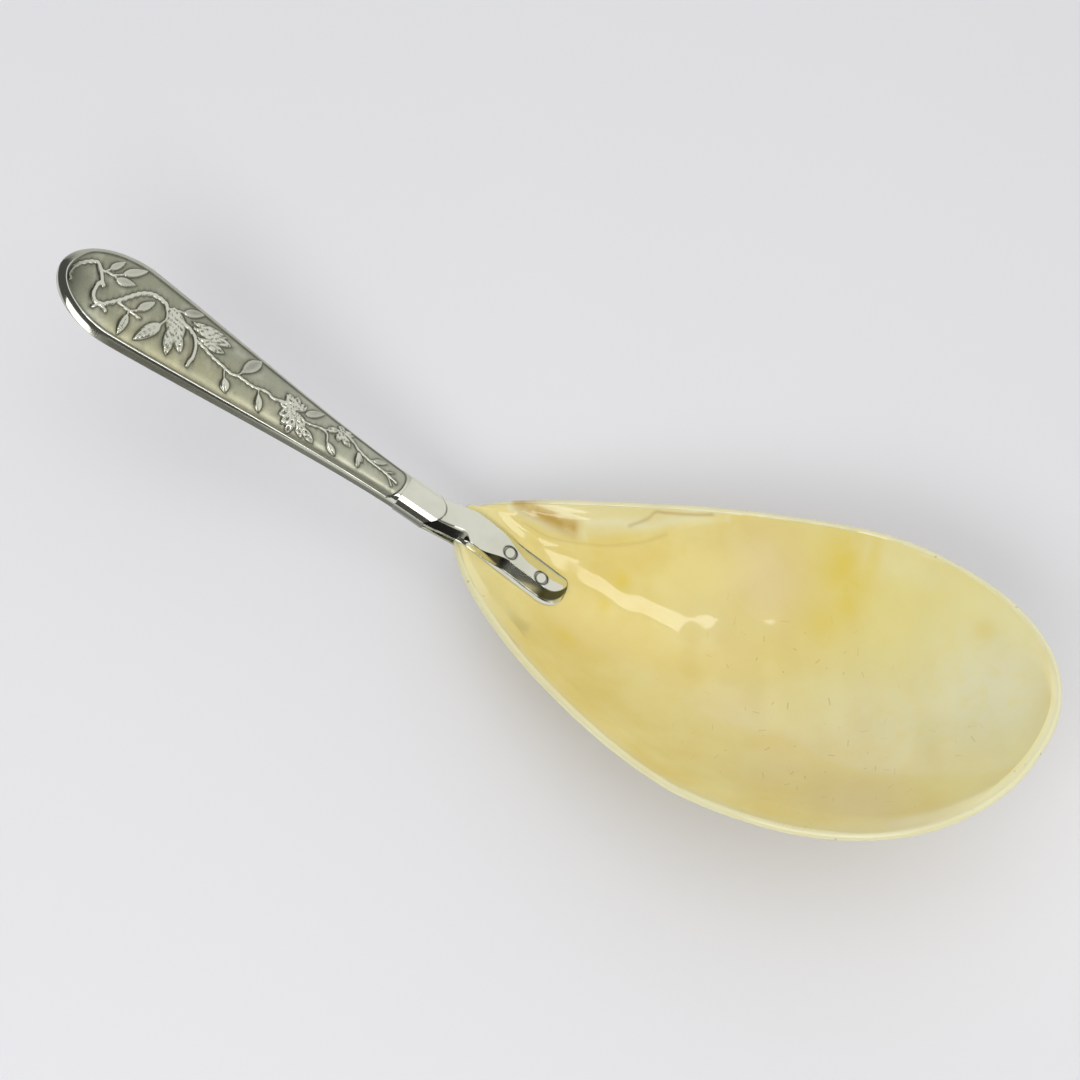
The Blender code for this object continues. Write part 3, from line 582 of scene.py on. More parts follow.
# flowering branch in low relief; s and y in millimetres, as on the panel
branch = {
    # half-width, height, path
    "stems": (
        (0.55, 0.40, ((4.0, -3.1), (3.1, -2.2), (3.4, 0.3), (5.0, 2.4), (6.8, 3.4), (8.2, 2.4), (10.2, 0.1),
                      (11.0, -0.5))),
        (0.55, 0.40, ((10.1, 0.0), (9.9, -1.4), (10.1, -3.2), (11.1, -4.4), (12.9, -4.5), (14.4, -3.1),
                      (16.0, -1.1), (17.2, 0.8), (18.6, 2.8), (20.6, 4.3), (22.7, 4.6), (24.2, 4.3),
                      (25.3, 3.3))),
        (0.42, 0.36, ((12.9, -4.6), (11.7, -6.0))), (0.42, 0.36, ((12.9, -4.5), (14.6, -5.2))),
        (0.30, 0.34, ((8.5, 2.3), (11.4, 2.8), (12.6, 2.4))), (0.28, 0.32, ((9.4, 2.4), (10.1, 3.6))),
        (0.28, 0.32, ((11.4, 2.8), (13.2, 4.4))),
        (0.32, 0.34, ((15.6, -1.7), (17.2, -2.0), (19.1, -2.1), (21.6, -2.2))),
        (0.28, 0.32, ((19.0, -2.1), (20.2, -1.0))), (0.28, 0.32, ((18.6, -2.1), (19.1, -3.2))),
        (0.28, 0.32, ((25.2, 3.4), (26.4, 1.4), (26.2, -0.6))), (0.34, 0.34, ((25.2, 3.3), (26.4, 4.2))),
        (0.28, 0.32, ((26.4, 4.2), (28.9, 5.1))),
        (0.5, 0.42, ((29.6, 2.8), (32.6, 2.2), (34.9, 0.2), (35.9, -2.4), (36.0, -4.9))),
        (0.36, 0.36, ((34.1, 1.2), (36.8, 0.6), (39.7, -0.1), (42.3, -0.5), (44.9, -0.9), (47.0, -0.4),
                      (50.6, -0.5), (53.5, 0.3), (55.8, -0.1), (58.0, 0.6), (60.5, 0.4))),
        (0.22, 0.28, ((46.4, -0.5), (46.7, 0.6))),
        (0.22, 0.3, ((43.1, -0.7), (44.4, -2.9))), (0.22, 0.3, ((52.0, -0.3), (52.5, -1.5))),
        (0.28, 0.34, ((62.5, -0.2), (64.0, -0.5), (66.0, -0.2), (68.4, 0.5), (70.0, 0.0), (70.9, -1.5))),
        (0.24, 0.32, ((68.2, 0.4), (69.6, 1.0), (71.6, 2.4))),
        (0.30, 0.34, ((73.6, 2.9), (75.6, 2.3), (77.5, 1.4), (79.8, 0.8), (81.9, 0.5), (85.9, 0.2),
                      (88.7, -0.3))),
        (0.2, 0.28, ((81.0, 0.7), (82.0, 1.2))), (0.2, 0.28, ((85.0, 0.2), (86.9, 1.3))),
        (0.2, 0.28, ((86.0, 0.1), (88.2, -1.5))),
    ),
    # base, tip, width, height, fullness towards the base; for leaves also how far they are cupped
    "leaves": (
        ((10.0, 3.5), (11.7, 7.5), 1.9, 0.42, 0.8, 0.5), ((13.0, 4.3), (16.8, 9.0), 2.4, 0.42, 0.8, 0.4),
        ((12.4, 2.3), (16.6, 3.8), 2.3, 0.42, 0.8, 0.6), ((20.1, -1.1), (22.3, 3.1), 2.1, 0.42, 0.85, 0.45),
        ((19.1, -3.1), (19.6, -8.0), 2.1, 0.5, 0.8, 0.2), ((26.2, -0.6), (23.1, -7.0), 3.0, 0.55, 0.75, 0.2),
        ((28.8, 5.0), (32.6, 8.2), 2.5, 0.44, 0.8, 0.9), ((46.6, 0.3), (48.9, 6.4), 3.1, 0.44, 1.25, 0.9),
        ((63.5, 1.1), (67.0, 4.1), 2.0, 0.40, 0.8, 0.7), ((81.8, 1.1), (84.6, 2.5), 1.5, 0.36, 0.8, 0.6),
    ),
    "petals": (
        ((26.2, 4.6), (31.8, -2.2), 4.8, 0.40, 0.9), ((27.6, 1.4), (31.0, -5.8), 2.5, 0.42, 1.3),
        ((29.2, 1.0), (33.2, -3.6), 2.3, 0.48, 1.3),
        ((31.3, 4.3), (39.7, 6.0), 2.4, 0.40, 1.3), ((34.0, 1.8), (41.2, 2.2), 2.3, 0.40, 1.3),
        ((32.0, 3.2), (41.6, 4.7), 2.8, 0.44, 1.3),
        ((61.3, 0.4), (57.6, 3.0), 2.5, 0.46, 1.2), ((61.3, 0.4), (62.8, 3.2), 2.1, 0.46, 1.2),
        ((61.3, 0.4), (60.0, 3.9), 1.8, 0.44, 1.2), ((61.3, 0.2), (57.0, 0.3), 2.0, 0.46, 1.2),
        ((61.3, 0.4), (58.6, -2.4), 2.5, 0.5, 1.2), ((61.4, 0.2), (60.2, -4.0), 2.2, 0.48, 1.2),
        ((61.5, 0.2), (62.4, -4.9), 2.3, 0.5, 1.3), ((61.6, 0.3), (65.0, -1.5), 1.8, 0.46, 1.2),
        ((61.7, 0.1), (65.6, -4.0), 2.1, 0.5, 1.3), ((63.6, -1.4), (68.5, -3.6), 1.8, 0.46, 1.3),
        ((71.8, 2.6), (69.3, 1.1), 1.7, 0.44, 1.2), ((71.9, 2.6), (71.9, 4.4), 1.8, 0.44, 1.2),
        ((72.1, 2.6), (75.2, 4.0), 1.9, 0.44, 1.2), ((72.1, 2.4), (75.8, 0.6), 1.8, 0.44, 1.2),
        ((71.9, 2.4), (72.9, 0.2), 1.7, 0.44, 1.2),
    ),
    "buds": (
        ((44.2, -2.5), (46.4, -5.2), 2.2, 0.42, 1.0), ((52.2, -0.9), (54.8, -4.7), 1.9, 0.42, 1.2),
        ((70.7, -1.4), (74.1, -3.1), 1.6, 0.40, 1.1), ((77.8, 0.6), (79.7, -2.5), 1.3, 0.38, 1.1),
        ((77.9, 0.8), (80.0, -0.9), 0.9, 0.34, 1.1),
    ),
    "margin": 2.0, "bark": (0.16, 4.1, 2.3), "crown": (1.25, 2.2, 0.7), "crevice": 0.38,
    "leafEnds": 0.75, "leastHalf": 0.02,
    # leaves: rib width and end, rib height over a cupped and a flat leaf, veins as height, count, slant
    "midrib": 0.16, "ribEnds": (1.0, 0.7), "ribRise": (0.9, 0.55), "veins": (0.05, 6, 0.9),
    "cup": 0.5, "cupTone": 0.6,
    # petals: a fold as depth and width, dots as height and pitch across and along, the sway of their lines as
    # swing and radians per mm along, across and of the base; real dots are finer, these are drawn to show
    "petalLevel": 0.8, "fold": (0.45, 0.3), "foldFrom": (0.3, 0.8), "dots": (0.25, 1.4, 1.7),
    "sway": ((1.7, 1.6, 0.0, 1.7), (1.4, 0.9, 2.9, 0.0)), "dotSway": 1.3, "dotTone": (0.2, 0.9),
    "slit": (0.45, 0.14), "slitFrom": (0.35, 0.9),  # buds: depth and width
}


def handleOutline(s):
    # half-width in plan: a rounded butt and a taper that eases out towards the neck
    body = np.clip((s - handle["buttRound"]) / (handle["length"] - handle["buttRound"]), 0, 1)
    taper = (1 - body ** handle["taper"][0]) ** handle["taper"][1]
    width = handle["neckWidth"] + (handle["buttWidth"] - handle["neckWidth"]) * taper
    return width / 2 * roundEnd(s, handle["buttRound"])


def crownHeight(share):
    # a section's height: full in the middle, falling as a parabola and then steeply to a thin edge
    soft, power = handle["crown"]
    return 1 - soft * share ** 2 - (1 - soft) * share ** power


def crownSlope(share):
    # how steeply that section falls
    soft, power = handle["crown"]
    return 2 * soft * share + (1 - soft) * power * share ** (power - 1)


def ellipseDepth(along, length, y, half):
    # distance inside an outline that ends in half an ellipse: its level over the steepness of that level
    u = np.clip(1 - along / length, 0, None)
    side = np.abs(y) + 1e-4
    level = np.sqrt(u ** 2 + (side / half) ** 2)
    return (1 - level) * level / np.sqrt((u / length) ** 2 + (side / half ** 2) ** 2)


def panelDepth(s, y):
    # distance inside the sunk panel: a parallel inset of the handle's outline, rounded off before the neck
    end = handle["length"] - handle["neckBorder"]
    border = handle["buttBorder"] + (handle["neckBorder"] - handle["buttBorder"]) * s / handle["length"]
    onFar = smooth(*handle["farFrom"], y / handle["buttWidth"] * 2)
    border = border * (1 - (1 - handle["farBorder"]) * onFar)
    half = handleOutline(s) / np.maximum(roundEnd(s, handle["buttRound"]), 1e-3)
    atButt = ellipseDepth(s, handle["buttRound"], y, half) - border
    return np.minimum(atButt, ellipseDepth(end - s, handle["panelEndRound"], y, half - border))


def leafShape(s, y, base, tip, width, belly):
    # u along the leaf, w across it, half-width as a sine of u; and the distance outside its outline
    ds, dy = tip[0] - base[0], tip[1] - base[1]
    length = math.hypot(ds, dy)
    u = ((s - base[0]) * ds + (y - base[1]) * dy) / length ** 2
    w = ((y - base[1]) * ds - (s - base[0]) * dy) / length
    held = np.clip(u, 0, 1)
    half = width / 2 * np.sin(math.pi * held ** belly) ** branch["leafEnds"] + branch["leastHalf"]
    outside = np.where(u == held, np.abs(w) - half, np.hypot(w, (u - held) * length))
    return held, w, half, outside


def branchRelief(s, y):
    # highest of all stems, leaves, petals and buds at each point, the distance to the nearest outline, and the
    # hollows that stay dark
    height, pits = np.zeros(s.shape), np.zeros(s.shape)
    outside = np.full(s.shape, np.inf)

    def beside(places):
        # rows within reach of a shape
        return (s[:, 0] > min(places) - branch["margin"]) & (s[:, 0] < max(places) + branch["margin"])

    knobs, knobsAlong, knobsAcross = branch["bark"]
    for radius, rise, path in branch["stems"]:
        path = smoothPath(path)
        rows = beside(path[:, 0])
        away = strokeDistance(s[rows], y[rows], path)
        away = away * (1 + knobs * np.sin(knobsAlong * s[rows] + knobsAcross * y[rows]))
        height[rows] = np.maximum(height[rows], rise * np.sqrt(np.clip(1 - (away / radius) ** 2, 0, 1)))
        outside[rows] = np.minimum(outside[rows], away - radius)
    swell, fullness, softness = branch["crown"]
    for kind in ("leaves", "petals", "buds"):
        for base, tip, width, rise, belly, *cupped in branch[kind]:
            rows = beside((base[0], tip[0]))
            u, w, half, away = leafShape(s[rows], y[rows], base, tip, width, belly)
            ratio = np.clip(np.abs(w) / half, 0, 1)
            crown = swell * rise * np.clip(1 - ratio ** fullness, 0, 1) ** softness
            if kind == "leaves":  # a raised rim round a cupped middle, a midrib and slanting veins
                rib = np.exp(-(w / branch["midrib"]) ** 2) * smooth(*branch["ribEnds"], u)
                veined, count, slant = branch["veins"]
                vein = veined * np.cos(2 * math.pi * (u * count - np.abs(w) * slant))
                middle = cupped[0] * (1 - ratio ** 2) ** 1.5 * np.sin(math.pi * u) ** 0.5
                onCup, onFlat = branch["ribRise"]
                crown = crown * (1 - branch["cup"] * middle + (onCup * cupped[0] - onFlat) * rib + vein)
                hole = branch["cupTone"] * middle
            elif kind == "petals":  # folded towards the tip, dotted
                along = u * math.dist(base, tip)
                sway = sum(swing * np.sin(ahead * along + across * w + start * base[0])
                           for swing, ahead, across, start in branch["sway"])
                dotted, pitch, pace = branch["dots"]
                dots = np.cos(2 * math.pi * w / pitch + sway)
                dots = dots * np.cos(2 * math.pi * along / pace + branch["dotSway"] * sway)
                depth, wide = branch["fold"]
                fold = depth * np.exp(-(w / wide) ** 2) * smooth(*branch["foldFrom"], u)
                crown = crown * (branch["petalLevel"] - fold + dotted * dots * (1 - ratio ** 2))
                hole = smooth(*branch["dotTone"], -dots) * (1 - ratio ** 4)
            else:  # full, with a slit at the tip
                depth, wide = branch["slit"]
                hole = np.exp(-(w / wide) ** 2) * smooth(*branch["slitFrom"], u)
                crown = crown * (1 - depth * hole)
            crown = np.where(away < 0, crown, 0)
            pits[rows] = np.where((crown >= height[rows]) & (away < 0), hole, pits[rows])
            height[rows] = np.maximum(height[rows], crown)
            outside[rows] = np.minimum(outside[rows], away)
    return height, outside, pits


def handleStations(pitch):
    # distances from the butt: squares over its rounded end, so that they crowd there, then even steps
    start, zone, length = handle["buttStart"], handle["buttZone"], handle["length"]
    crowded = start + (zone - start) * np.linspace(0, 1, handle["buttRows"]) ** 2
    return np.r_[crowded, np.linspace(zone, length, int(length / pitch))[1:]][:, None]


def panelMarks(s, y, half, inward, relief, outside, pits):
    # rubbed where the relief stands proud; soot is the most of what lies round it, in the hollows and along the
    # panel's wall, with painted shade at the butt; a painted dark reflection along the near edge and a painted
    # warm reflection on the near side
    across = y / half
    proud = smooth(*wear["proud"], relief) * (1 - wear["pitDulls"] * pits)
    sootAndShade = np.exp(-np.clip(outside, 0, None) / branch["crevice"]) * (1 - smooth(*wear["flank"], relief))
    start, reach = wear["wallSoot"]
    # painted shade over the butt's near corner
    buttShade = wear["buttShade"] * smooth(*wear["buttShadeAlong"], s) * smooth(*wear["buttShadeAcross"], y)
    for more in (np.exp(-np.clip(inward - start, 0, None) / reach), wear["pitSoot"] * pits, buttShade):
        sootAndShade = np.maximum(sootAndShade, more)
    # painted dark reflection along the panel's near edge
    nearEdgeDarkReflection = wear["seam"] * smooth(*wear["seamAcross"], across) * smooth(*wear["seamAlong"], s)
    dulled = (1 - wear["farDulls"] * smooth(*wear["farAcross"], across)) * (1 - nearEdgeDarkReflection)
    faded = 1 - wear["warmFades"] * smooth(*wear["fadesAlong"], s)
    return {
        "relief": np.maximum(proud, wear["rubbed"] * smooth(*wear["rubbedAlong"], s)),
        "crevice": np.maximum(sootAndShade * smooth(*wear["sootFrom"], inward), nearEdgeDarkReflection),
        "border": (1 - smooth(*wear["border"], inward)) * dulled,
        # painted warm reflection on the near side
        "near": smooth(*wear["warmAcross"], across) * smooth(*wear["warmAlong"], s) * faded,
    }


def makeHandleHalf(name, node, sign, pitch, steps, material, ornament):
    # crowned sections from butt to neck, one side of the seam; the sheet's inner face closes the loop
    s = handleStations(pitch)
    thick = handle["thick"] + (handle["neckThick"] - handle["thick"]) * s / handle["length"]
    half = handleOutline(s)
    deep = thick / 2 * crownHeight(np.clip(1 - s / handle["thickRound"], 0, 1))
    share = np.cos(np.linspace(0, math.pi, steps))[None]
    y = half * share
    z = deep * crownHeight(np.abs(share))
    s = np.broadcast_to(s, y.shape)
    # how far aside the face looks for 1 upwards
    lean = deep / half * crownSlope(np.abs(share)) * np.sign(share)
    lift = np.zeros(y.shape)
    sheet = handle["sheet"]
    if ornament:
        inward = panelDepth(s, y)
        relief, outside, pits = branchRelief(s, y)
        relief = relief * smooth(*handle["reliefFrom"], inward)
        lift = relief - handle["sink"] * smooth(*handle["panelWall"], inward)
        sheet += handle["sink"]
        marks = panelMarks(s, y, half, inward, relief, outside, pits)
    else:  # the plain half has painted dark reflection along both edges by the seam
        marks = {"paintedShade": wear["backSeam"] * smooth(*wear["backAcross"], np.abs(share)) + 0 * s}
    unmarked = np.zeros((len(s), handle["insideSteps"]))
    marks = {mark: np.hstack([values, unmarked]) for mark, values in marks.items()}
    lift = lift / np.hypot(lean, 1)
    outer = np.stack([s, y + lean * lift, np.maximum(z + lift, handle["seam"])], -1)
    back = np.cos(np.linspace(math.pi, 0, handle["insideSteps"]))[None]
    inHalf = np.maximum(half - handle["sheet"], handle["leastInside"] * half)
    inDeep = np.maximum(deep - sheet, handle["leastInside"] * deep)
    inY = inHalf * back
    inZ = np.maximum(inDeep * crownHeight(np.abs(back)), handle["seam"])
    inner = np.stack([np.broadcast_to(s[:, :1], inY.shape), inY, inZ], -1)
    loop = np.concatenate([outer, inner], axis=1) * [1, 1, sign] + [handle["butt"], 0, 0]
    crease = None if ornament else handle["crease"]
    return skin(name, place(loop, handleRise), material, node, marks, crease=crease)


makeHandleHalf("handleFront", "handle_front", 1, handle["finePitch"], handle["frontSteps"],
               oxidisedSilver, True)
makeHandleHalf("handleBack", "handle_back", -1, handle["coarsePitch"], handle["backSteps"],
               polishedSilver, False)

# ferrule: a collar between handle and bowl with an arched front edge
ferrule = {
    "back": -11.95, "front": -1.4, "lip": 3.4, "width": 8.3, "thick": 7.3, "wall": 0.6, "round": 0.14,
    "steps": 60, "rows": 24, "edgeRows": 4, "insideStep": 4, "sumSteps": 400, "crease": 35,
    # share of the half-width and the slope there in degrees: flat top, two facets, a rounded side
    "facets": ((0.0, 0.0), (0.40, 4.0), (0.43, 25.0), (0.70, 34.0), (0.72, 40.0), (0.92, 52.0), (0.96, 62.0)),
    "shoulder": ((0.0, 0.0), (0.44, 4.0), (0.48, 38.0), (0.9, 42.0), (0.95, 60.0)),
    # painted dark reflection along the near side and painted shade at the lip: tone, and the shares across or
    # forward where it comes
    "sideDarkReflection": 0.85, "sideFrom": (-0.93, -0.99), "lipShade": 0.8, "lipFrom": (0.96, 1.0),
}


def lipLine(y):
    # the front edge: a parabola, furthest forward in the middle
    return ferrule["front"] - ferrule["lip"] * (y / (ferrule["width"] / 2)) ** 2


def ferruleFace(share, facets):
    # height over the collar's middle: the slopes of its facets summed from the crown outwards, then an upright
    # side
    high, wide = ferrule["thick"] / 2, ferrule["width"] / 2
    fine = np.linspace(0, facets[-1][0], ferrule["sumSteps"])
    slope = np.tan(np.radians(np.interp(fine, *np.transpose(facets))))
    fall = np.r_[0, np.cumsum((slope[1:] + slope[:-1]) / 2)] * fine[1] * wide
    return np.interp(np.abs(share), np.r_[fine, 1], np.r_[high - fall, 0])


def makeFerrule():
    # wall profile, outside forward, round the lip, inside back, carried round the faceted section
    over = np.cos(np.linspace(0, math.pi, 2 * ferrule["steps"], endpoint=False))
    unitY = np.r_[over, -over][None]
    face = ferruleFace(over, ferrule["facets"])
    unitZ = np.r_[face, -face][None] / (ferrule["thick"] / 2)
    edge = ferrule["edgeRows"]
    easing = ferrule["round"] * (1 - np.cos(np.linspace(0, math.pi / 2, edge)))
    share = np.linspace(0, 1, ferrule["rows"])
    inside = share[::-ferrule["insideStep"]]
    # each row: share of the way forward and depth in the wall
    forward = np.r_[np.zeros(edge), share[1:-1], np.ones(edge), inside, 0][:, None]
    depth = np.r_[easing[::-1], 0 * share[1:-1], easing, np.full(len(inside) + 1, ferrule["wall"])][:, None]
    y = (ferrule["width"] / 2 - depth) * unitY
    z = (ferrule["thick"] / 2 - depth) * unitZ
    x = ferrule["back"] + forward * (lipLine(y) - ferrule["back"])
    grid = place(np.stack([x, y, z], -1), handleRise)
    # painted dark reflection along the near side, painted shade at the lip
    paintedShade = np.maximum(ferrule["sideDarkReflection"] * smooth(*ferrule["sideFrom"], unitY),
                       ferrule["lipShade"] * smooth(*ferrule["lipFrom"], forward))
    return skin("ferruleCollar", grid, polishedSilver, "ferrule", {"paintedShade": paintedShade},
                ringed=True, crease=ferrule["crease"])


makeFerrule()

# tongue on the inner face and strap under the outer one, both rooted in the ferrule; along each side a low strip
# climbs to the foot of a bevel: plan widths, where along x the bevel grows or fades, slopes in degrees
tongue = {
    "tip": 27.0, "width": 8.3, "thick": 2.2, "edge": 0.15, "tipRounds": (4.4, 1.7), "steps": (22, 104, 190),
    "side": 1.0, "bevel": 2.1, "bevelGrows": (8.0, 14.5), "rootBevel": 1.7, "rootFades": (7.0, 4.6),
    "slope": (37.0, 36.5), "farSide": 0.35, "farBevel": (0.3, 2.2), "farGrows": (10.0, 18.0),
    "farFades": (22.0, 27.0), "farSlope": 30.0, "root": 4.8, "rootThick": 1.7, "tang": 40.0, "tangEnd": 1.6,
}
strap = {
    "tip": 25.5, "width": 7.6, "thick": 1.3, "edge": 0.4, "tipRounds": (3.6, 3.6), "steps": (14, 50, 90),
    "side": 0.3, "bevel": 2.0, "bevelGrows": (5.0, 8.0), "rootBevel": 0.0, "rootFades": (7.0, 4.6),
    "slope": (18.0, 18.0), "farSide": 0.3, "farBevel": (2.4, 0.0), "farGrows": (5.0, 8.0),
    "farFades": (22.0, 25.5), "farSlope": 18.0, "root": 4.8, "rootThick": 1.7, "tang": -2.7, "tangEnd": 4.8,
}
# what the two share: how far left their middle line lies, the rows of the shoulder, and the painted shadow,
# shade and dark reflections, as tones, reaches in mm and the places where they come or go
fork = {
    "middle": 1.0, "shoulderStep": 0.2, "strapStart": 1.0, "rowCrowding": 0.9, "leastWidth": 0.05,
    "farFade": 0.4, "blendRows": 22, "easedRows": 40, "easings": 14, "crease": 32,
    "farEdgeShadow": (0.7, 0.3), "rivetRingShade": (0.75, 0.24), "bevelFrom": (0.02, 0.14), "stripUnmarked": (0.8, 1.2),
    "tipDarkReflection": 0.94, "tipFrom": (7.0, 4.0), "startDarkReflection": 0.95, "startFades": (16.0, 13.0),
    "rootDarkReflection": 0.9, "rootAcross": (-0.33, -0.45),
}
rivets = {"rivetFront": ("rivet_front", 21.1, 1.3), "rivetRear": ("rivet_rear", 13.7, 1.6)}
rivet = {
    "shank": 1.1, "head": 1.32, "sink": 0.7, "proud": 0.12, "settle": 0.02, "edge": 0.15, "recess": 0.3,
    "clear": 0.1, "steps": 48, "rings": 10, "firstRing": 0.06, "paintedShade": 0.85, "shadeFrom": (0.35, 0.1),
    "crease": 35,
}


def bevelRise(look, fromEdge, side, wide, slope):
    # height over the bed: the edge, a strip that climbs to the bevel's foot, then the bevel's slope
    foot = np.maximum(look["thick"] - slope * wide, look["edge"])
    onSide = np.clip(fromEdge / side, 0, 1)
    return look["edge"] + (foot - look["edge"]) * onSide + slope * np.clip(fromEdge - side, 0, None)


def makeStrap(name, node, look, sign):
    # closed sections from the tang through the shoulder to the rounded tip; a section is a bed along the shell
    # and a top of strip, bevel and flat; the shoulder runs straight to the first one, and its rows are averaged
    bottomSteps, topSteps, rows = look["steps"]
    across = np.r_[np.linspace(-1, 1, bottomSteps), np.linspace(1, -1, topSteps)][None]
    upper = np.r_[np.zeros(bottomSteps), np.ones(topSteps)][None]
    near, far = sign * fitGap / 2, sign * (fitGap / 2 + look["rootThick"])

    def bar(x, half, low, high):
        y = half * across
        section = np.stack(np.broadcast_arrays(x(y), y, low + (high - low) * upper), -1)
        return turned(section, handleRise - rimRise)

    def atLip(y):
        return lipLine(y) + fitGap / 2

    back, rootHalf, endHalf = ferrule["back"], look["root"] / 2, look["tangEnd"] / 2
    tangs = [
        bar(lambda y: back - look["tang"] + 0 * y, endHalf, *((-endHalf, endHalf) if sign > 0 else (near, far))),
        bar(lambda y: back + 0 * y if sign > 0 else lipLine(y) - fork["strapStart"], rootHalf, near, far),
        bar(atLip, rootHalf, near, far),
    ]
    wide = ferrule["width"] / 2 - fitGap
    face = ferruleFace(across * wide / (ferrule["width"] / 2), ferrule["shoulder"]) - fork["shoulderStep"]
    shoulder = bar(atLip, wide, near + sign * fitGap, sign * face)
    start = bowl["neckCut"] + fitGap
    x = (start + (look["tip"] - start) * np.linspace(0, 1, rows) ** fork["rowCrowding"])[:, None]
    nearHalf, farHalf = (look["width"] / 2 * np.maximum(roundEnd(look["tip"] - x, length), fork["leastWidth"])
                         for length in look["tipRounds"])
    nearLean, farLean = (np.sqrt(1 + np.gradient(half, x[:, 0], axis=0) ** 2) for half in (nearHalf, farHalf))
    aside = np.where(across < 0, across * nearHalf, across * farHalf)
    y = fork["middle"] + aside
    fromNear, fromFar = (aside + nearHalf) / nearLean, (farHalf - aside) / farLean
    rootSlope, tipSlope = look["slope"]
    slope = np.tan(np.radians(rootSlope + (tipSlope - rootSlope) * (x / look["tip"]) ** 2))
    bevel = look["bevel"] * smooth(*look["bevelGrows"], x) + look["rootBevel"] * smooth(*look["rootFades"], x)
    nearRise = bevelRise(look, fromNear, look["side"], bevel, slope)
    narrow, grown = look["farBevel"]
    faded = 1 - fork["farFade"] * smooth(*look["farFades"], x)
    farBevel = narrow + grown * smooth(*look["farGrows"], x) * faded
    farRise = bevelRise(look, fromFar, look["farSide"], farBevel, math.tan(math.radians(look["farSlope"])))
    lift = snugGap + np.minimum(np.minimum(nearRise, farRise), look["thick"]) * upper
    # painted contact shadow along the far edge, painted dark reflection on the near bevel's start and tip,
    # painted shade round the rivets
    tone, reach = fork["farEdgeShadow"]
    paintedShade = tone * np.exp(-(fromFar / reach) ** 2)
    onBevel = smooth(*fork["bevelFrom"], look["thick"] - nearRise)
    onBevel = onBevel * smooth(*fork["stripUnmarked"], fromNear / look["side"])
    paintedShade = np.maximum(paintedShade, fork["tipDarkReflection"] * smooth(*fork["tipFrom"], look["tip"] - x) * onBevel)
    paintedShade = np.maximum(paintedShade, fork["startDarkReflection"] * smooth(*fork["startFades"], x) * onBevel)
    tone, reach = fork["rivetRingShade"]
    for _, atX, atY in rivets.values():
        ring = np.hypot(x - atX, y - atY) - rivet["head"]
        lift = lift - rivet["recess"] * (ring < rivet["clear"]) * upper
        paintedShade = np.maximum(paintedShade, tone * np.exp(-(ring / reach) ** 2))
    if sign > 0:  # flat on top, square to the shell under its middle line
        middle = np.full_like(x, fork["middle"])
        up = innerNormal(x, middle)
        seat = overInnerFace(x, middle, 0.0)
        flat = seat + aside[..., None] * [0, 1, 0] + lift[..., None] * up
        bed = overInnerFace(x, y, snugGap)
        bulge = ((bed - seat) * up).sum(axis=-1)
        short = np.clip(bulge + look["edge"] - lift, 0, None)
        body = np.where(upper[..., None] > 0, flat + short[..., None] * up, bed)
    else:
        body = overInnerFace(x, y, -bowl["wall"] - lift)
    mix = np.linspace(0, 1, fork["blendRows"], endpoint=False)[1:, None, None]
    sections = np.concatenate([shoulder, shoulder + mix * (body[0] - shoulder), body])
    last = fork["easedRows"]
    for _ in range(fork["easings"]):
        sections[1:last] = (sections[:last - 1] + 2 * sections[1:last] + sections[2:last + 1]) / 4
    grid = place(np.concatenate([*tangs, sections]), rimRise)
    # painted dark reflection on the near side of the shoulder and tang
    rooted = fork["rootDarkReflection"] * smooth(*fork["rootAcross"], across) * upper
    rooted = np.repeat(rooted, len(grid) - len(paintedShade), axis=0)
    marks = {"paintedShade": np.vstack([rooted, paintedShade * upper])}
    return skin(name, grid, polishedSilver, node, marks, crease=fork["crease"])


makeStrap("silverTongue", "tongue", tongue, 1)
makeStrap("underStrap", "back_strap", strap, -1)


def makeRivet(name, node, atX, atY):
    # half outline turned about the line square to the bowl: low domes, countersunk heads, a straight shank
    top, foot = snugGap + tongue["thick"], -bowl["wall"] - snugGap - strap["thick"]
    head, shank, sink, edge = rivet["head"], rivet["shank"], rivet["sink"], rivet["edge"]
    arc = np.linspace(rivet["firstRing"], 1, rivet["rings"])
    dome = rivet["proud"] * (1 - arc ** 2) - rivet["settle"]
    radius = np.r_[head * arc, head, shank, shank, head, head, head * arc[::-1]]
    level = np.r_[top + dome, top - edge, top - sink, foot + sink, foot + edge, foot, foot - dome[::-1]]
    turn = np.linspace(0, 2 * math.pi, rivet["steps"], endpoint=False)
    atX, atY = np.array(atX), np.array(atY)
    normal = innerNormal(atX, atY)
    side = np.cross([0.0, 1.0, 0.0], normal)
    side /= np.linalg.norm(side)
    other = np.cross(normal, side)
    seat = np.array([atX, atY, innerHeight(atX, atY)])
    ring = np.cos(turn)[:, None] * side + np.sin(turn)[:, None] * other
    points = seat + level[:, None, None] * normal + radius[:, None, None] * ring
    peak = rivet["proud"] - rivet["settle"]
    poles = tuple(place(seat + height * normal, rimRise) for height in (top + peak, foot - peak))
    # painted shade round the edge of each rivet head
    unmarked, shaded = rivet["shadeFrom"]
    paintedShade = rivet["paintedShade"] * smooth(head - unmarked, head - shaded, radius)
    marks = {"paintedShade": paintedShade[:, None] + np.zeros(len(turn))}
    return skin(name, place(points, rimRise), polishedSilver, node, marks, poles,
                crease=rivet["crease"])


for rivetName, (rivetNode, rivetX, rivetY) in rivets.items():
    makeRivet(rivetName, rivetNode, rivetX, rivetY)
print("metalwork made")

